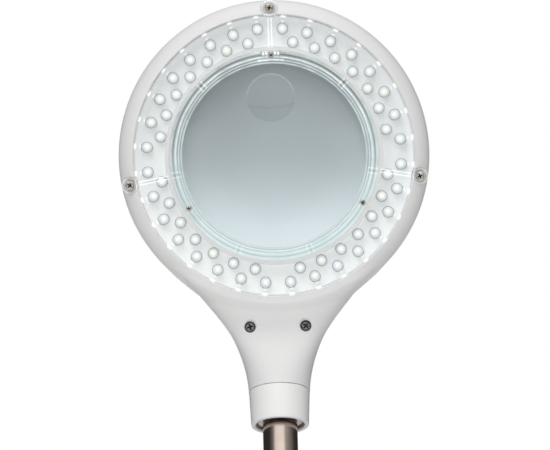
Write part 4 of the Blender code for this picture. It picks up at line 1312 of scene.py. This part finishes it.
class LAMP_OT_collar(bpy.types.Operator):
    """Make the swivel collar, the metal cup inside it and the plain tube below it"""

    bl_idname = "lamp.collar"
    bl_label = "Collar and tube"

    def execute(self, context):
        arm = context.scene.lamp_arm
        top, low, web, hole = -SEAM_LOWER - 0.15 * MM, -20 * MM, -3.2 * MM, 6.4 * MM
        sleeve = [(15.8 * MM, top), (15 * MM, low), (12.7 * MM, low), (12.7 * MM, web),
                  (hole, web), (hole, top)]
        collar = turned(rounded(sleeve, 0.7 * MM, steps=5), 128)
        piece("collar_sleeve", placed(collar, COLLAR), bpy.data.materials["white_plastic"],
              "collar", ["neck_collar"])
        top, low, web, outer, inner = -3.5 * MM, -19.2 * MM, -4.3 * MM, 12.4 * MM, 11.6 * MM
        cup = [(outer, top), (outer, low), (inner, low), (inner, web), (hole, web), (hole, top)]
        piece("socket_cup_round", placed(turned(rounded(cup, 0.2 * MM), 96), COLLAR),
              cup_nickel(), "collar", ["socket_cup"])
        end, shoulder, stub = -62 * MM, -4.6 * MM, 5.9 * MM
        tube = [(0, 13 * MM), (stub, 13 * MM), (stub, shoulder), (arm.tube, shoulder),
                (arm.tube, end + 3 * MM), (arm.reach, end), (0, end)]
        # the upper tube's nickel has painted shade where it enters the cup
        nickel = plated_nickel("upper_nickel", cup_shade=True)
        piece("upper_tube", placed(turned(rounded(tube, 0.35 * MM), 128), COLLAR), nickel, "collar",
              ["upper_ferrule"])
        return {"FINISHED"}


def winding_group():
    """A wire wound into a coil that follows a gentle bend, as a solid of real faces."""
    g, given = node_group("Lamp arm winding", [
        ("Material", "NodeSocketMaterial"), ("Length", "NodeSocketFloat"),
        ("Turns", "NodeSocketFloat"), ("Coil radius", "NodeSocketFloat"),
        ("Wire radius", "NodeSocketFloat"), ("Bend radius", "NodeSocketFloat")])
    radius, bend = given.out("Coil radius"), given.out("Bend radius")
    coil = g.node("GeometryNodeCurveSpiral", None, {
        "Resolution": 30, "Rotations": given.out("Turns"), "Start Radius": radius,
        "End Radius": radius, "Height": given.out("Length")})
    wire = g.node("GeometryNodeCurvePrimitiveCircle", {"mode": "RADIUS"},
                  {"Resolution": 8, "Radius": given.out("Wire radius")})
    solid = g.node("GeometryNodeCurveToMesh", None,
                   {"Curve": coil, "Profile Curve": wire, "Fill Caps": True})
    x = g.node("ShaderNodeSeparateXYZ", None, (g.node("GeometryNodeInputPosition"),))
    y, z = x.out("Y"), x.out("Z")
    swing = z / bend
    bent = g.node("ShaderNodeCombineXYZ", None, (
        x, bend - (bend - y) * swing.math("COSINE"), (bend - y) * swing.math("SINE")))
    close_group(g, g.node("GeometryNodeSetPosition", None, {"Geometry": solid, "Position": bent}),
                given.out("Material"))
    return g.tree


class LAMP_OT_arm(bpy.types.Operator):
    """Make the wound skin of the flexible arm, one length across each of its joints"""

    bl_idname = "lamp.arm"
    bl_label = "Flexible arm"

    def execute(self, context):
        arm = context.scene.lamp_arm
        pivots = [pivot(name) for name in ARM_JOINTS]
        pitch = (pivots[1] - pivots[0]).length
        step = TILT / len(pivots)
        group, nickel = winding_group(), plated_nickel("winding_nickel", (300, 300, 300), 0.5)
        for index, here in enumerate(pivots):
            below, above = (Vector((0, math.sin(lean), math.cos(lean)))
                            for lean in (step * index, step * (index + 1)))
            start = 4.2 * MM if index == 0 else pitch / 2
            end = 0.5 * MM if index == len(pivots) - 1 else pitch / 2
            span = start + end
            turns = max(1, round(span / arm.pitch))
            mesh = grown(group, {
                "Material": nickel, "Length": span, "Turns": float(turns),
                "Coil radius": arm.reach - arm.wire, "Wire radius": arm.wire,
                "Bend radius": pitch / step})
            lean = step * index + (step / 2) * (1 - span / pitch if index == 0 else 0)
            low = here - below * start
            mesh.transform(Matrix.Translation(low) @ Matrix.Rotation(-lean, 4, "X"))
            bodies = ARM_BODIES[index], ARM_BODIES[index + 1]
            node = [f"gooseneck_{bodies[1]}"] if index < len(pivots) - 1 else []
            piece(f"winding_{index + 1}", cleaned(mesh, 1e-6), None,
                  (*bodies, low, here + above * max(end, 3 * MM)), node, crease=60)
        return {"FINISHED"}


# ---------------------------------------------------------------- base


class LAMP_OT_base(bpy.types.Operator):
    """Make the base's cover, its foot pad, the ferrule on it and the power socket"""

    bl_idname = "lamp.base"
    bl_label = "Base"

    def execute(self, context):
        base, arm = context.scene.lamp_base, context.scene.lamp_arm
        pad, wall, hub = 2 * MM, 2.5 * MM, 16 * MM
        shoulder = base.radius - 9 * MM
        outer = [(hub, base.top), *bow((shoulder, base.edge), (9 * MM, 7 * MM), 80, 0, 14),
                 (base.radius, 3.6 * MM), (base.radius - 0.5 * MM, 3.3 * MM),
                 (base.radius - 0.5 * MM, pad + 0.3 * MM)]
        inner = [(base.radius - wall, pad + 0.3 * MM),
                 *bow((shoulder, base.edge), (9 * MM - wall, 7 * MM - wall), 0, 80, 8),
                 (hub, base.top - wall), (6.4 * MM, base.top - wall), (6.4 * MM, base.top)]
        inlet = Matrix.Translation((0, 0, 9 * MM)) @ Matrix.Rotation(-math.pi / 2, 4, "X")
        way = rod(3.9 * MM, base.radius - 15 * MM, base.radius + 4 * MM, steps=40)
        cover = carved(turned([*outer, *inner], 224), cut(placed(way, inlet)))
        piece("base_shell", cover, white_plastic("base_plastic"), "base",
              ["base_cover"], crease=25)
        grooves = [(0, pad), (92 * MM, pad), (92 * MM, 0.3 * MM), (91.7 * MM, 0)]
        for radius in range(88, 12, -8):
            grooves += [(radius * MM, 0), ((radius - 0.5) * MM, 0.6 * MM),
                        ((radius - 2) * MM, 0.6 * MM), ((radius - 2.5) * MM, 0)]
        rubber = tuple(base.rubber)
        piece("foot_pad_ribbed", turned([*grooves, (0, 0)], 128),
              speckled("foot_rubber", rubber, shade(rubber, 1.7), 160, 0.78, depth=0.15 * MM),
              "base", ["foot_pad"])
        foot, top = base.top + 0.3 * MM, pivot(ARM_JOINTS[0]).z - 4.2 * MM
        ferrule = [(0, top), (arm.reach, top), (arm.reach, top - 4 * MM), (arm.tube, top - 5 * MM),
                   (arm.tube, foot + 5 * MM), (13 * MM, foot + 3 * MM), (13.5 * MM, foot + 2 * MM),
                   (13.5 * MM, foot), (0, foot)]
        piece("lower_tube", turned(rounded(ferrule, 0.5 * MM), 112), plated_nickel("tube_nickel"),
              "base", ["lower_ferrule"])
        face, back = base.radius + 1.5 * MM, base.radius - 17 * MM
        barrel = [(0, face - 1 * MM), (0.9 * MM, face - 1.5 * MM), (0.9 * MM, back + 6 * MM),
                  (2.75 * MM, back + 6 * MM), (2.75 * MM, face), (4.2 * MM, face),
                  (4.8 * MM, face - 0.5 * MM), (4.8 * MM, base.radius + 0.3 * MM),
                  (3.6 * MM, base.radius + 0.3 * MM), (3.6 * MM, back), (0, back)]
        socket = placed(turned(rounded(barrel, 0.15 * MM), 48), inlet)
        piece("power_socket", socket, bpy.data.materials["button_plastic"], "base",
              ["power_inlet"])
        return {"FINISHED"}


class LAMP_OT_hidden(bpy.types.Operator):
    """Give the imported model's own inner pieces their finishes"""

    bl_idname = "lamp.hidden"
    bl_label = "Inner pieces"

    def execute(self, context):
        brass = speckled("brass", (0.50, 0.36, 0.15), (0.66, 0.50, 0.25), 220, 0.25, 1.0)
        iron = speckled("cast_iron", (0.035, 0.035, 0.038), (0.07, 0.07, 0.072), 250, 0.6, 0.6,
                        0.2 * MM)
        nylon = speckled("nylon", (0.62, 0.61, 0.57), (0.70, 0.69, 0.65), 120, 0.45)
        steel = bpy.data.materials["screw_metal"]
        black = bpy.data.materials["button_plastic"]
        wanted = {
            "base_weight": iron, "ferrule_nut": brass, "retaining_nut": brass,
            "ferrule_washer": steel, "swivel_washer": steel, "set_screw": steel,
            "swivel_bush": nylon, "driver_board": circuit_board(), "switch_body": black,
            "led_lead": black,
        }
        for name, finish in wanted.items():
            mesh = frame["nodes"][name].data
            mesh.materials.clear()
            mesh.materials.append(finish)
        return {"FINISHED"}


# ---------------------------------------------------------------- stage


class LAMP_OT_stage(bpy.types.Operator):
    """Make the floor, the soft light and the camera"""

    bl_idname = "lamp.stage"
    bl_label = "Stage"

    def execute(self, context):
        stage, scene = context.scene.lamp_stage, context.scene
        f = Finish("floor_paint")
        patch = f.noise(1.5, 3.0)
        paint = f.done(f.principled(Base_Color=f.mix(patch, (0.80, 0.80, 0.80), (0.84, 0.84, 0.84)),
                                    Roughness=0.7 + 0.1 * patch))
        floor = turned([(0, 0), (stage.floor, 0), (stage.floor, -20 * MM), (0, -20 * MM)], 96)
        floor.materials.append(paint)
        ground = bpy.data.objects.new("floor", floor)
        scene.collection.objects.link(ground)
        head = FACE.to_translation()
        self.lamp("key", (-0.5, -1.8, 1.85), head, 1.5, stage.key)
        self.lamp("fill", (1.3, -1.6, 1.6), head, 1.2, stage.key * 0.14)
        self.world(scene)
        camera = bpy.data.cameras.new("camera")
        camera.lens, camera.sensor_width, camera.clip_end = stage.focal, 36, 50
        view = bpy.data.objects.new("camera", camera)
        view.location = head + AIM - Vector((0, stage.distance, 0))
        view.rotation_euler = (math.pi / 2, 0, 0)
        scene.collection.objects.link(view)
        scene.camera = view
        scene.view_settings.view_transform = "Standard"
        return {"FINISHED"}

    def lamp(self, name, place, target, size, power):
        light = bpy.data.lights.new(name, "AREA")
        light.shape, light.size, light.energy = "DISK", size, power
        made = bpy.data.objects.new(name, light)
        made.visible_glossy = made.visible_transmission = False
        made.location = place
        made.rotation_euler = (target - Vector(place)).to_track_quat("-Z", "Y").to_euler()
        bpy.context.scene.collection.objects.link(made)

    def world(self, scene):
        """A white room that is bright in front and above, and dim at the sides and behind."""
        world = bpy.data.worlds.new("studio")
        world.use_nodes = True
        g = Graph(world.node_tree)
        x = g.node("ShaderNodeSeparateXYZ", None, (g.node("ShaderNodeTexCoord", out="Generated"),))
        y, z = x.out("Y"), x.out("Z")
        level = (x * x + y * y + 1e-4).math("SQRT")
        wide, window = (0.22 * x - y) / level, (0 - y - 0.15 * x) / level
        light = 0.035 + 0.20 * wide.ease(-0.3, 0.6) + 0.62 * window.ease(0.66, 0.84)
        light = light * (0.45 + 0.55 * z.ease(-0.7, 0.3)) + 0.8 * z.ease(0.48, 0.95)
        room = g.node("ShaderNodeBackground", None, {"Color": (1, 1, 1), "Strength": light})
        white = g.node("ShaderNodeBackground", None, {"Color": (1, 1, 1), "Strength": 1.0})
        seen = g.node("ShaderNodeLightPath", out="Is Camera Ray")
        g.node("ShaderNodeOutputWorld", None, {
            "Surface": g.node("ShaderNodeMixShader", None, (seen, room, white))})
        scene.world = world


# ---------------------------------------------------------------- add-on


OPERATORS = (
    LAMP_OT_casing, LAMP_OT_cover, LAMP_OT_light, LAMP_OT_lens, LAMP_OT_screws, LAMP_OT_lid,
    LAMP_OT_collar, LAMP_OT_arm, LAMP_OT_base, LAMP_OT_hidden, LAMP_OT_stage,
)


class LAMP_PT_panel(bpy.types.Panel):
    """The lamp's settings, and a button for each group of its pieces"""

    bl_label = "Magnifying lamp"
    bl_space_type = "VIEW_3D"
    bl_region_type = "UI"
    bl_category = "Lamp"

    def draw(self, context):
        layout = self.layout
        for name, kind in SETTINGS.items():
            box = layout.box()
            for setting in kind.__annotations__:
                box.prop(getattr(context.scene, name), setting)
        for operator in OPERATORS:
            layout.operator(operator.bl_idname)


CLASSES = (*SETTINGS.values(), *OPERATORS, LAMP_PT_panel)


def register():
    for kind in CLASSES:
        bpy.utils.register_class(kind)
    for name, kind in SETTINGS.items():
        setattr(bpy.types.Scene, name, PointerProperty(type=kind))


def unregister():
    for name in SETTINGS:
        delattr(bpy.types.Scene, name)
    for kind in reversed(CLASSES):
        bpy.utils.unregister_class(kind)


def main():
    register()
    for operator in OPERATORS:
        group, name = operator.bl_idname.split(".")
        getattr(getattr(bpy.ops, group), name)()


if __name__ == "__main__":
    main()
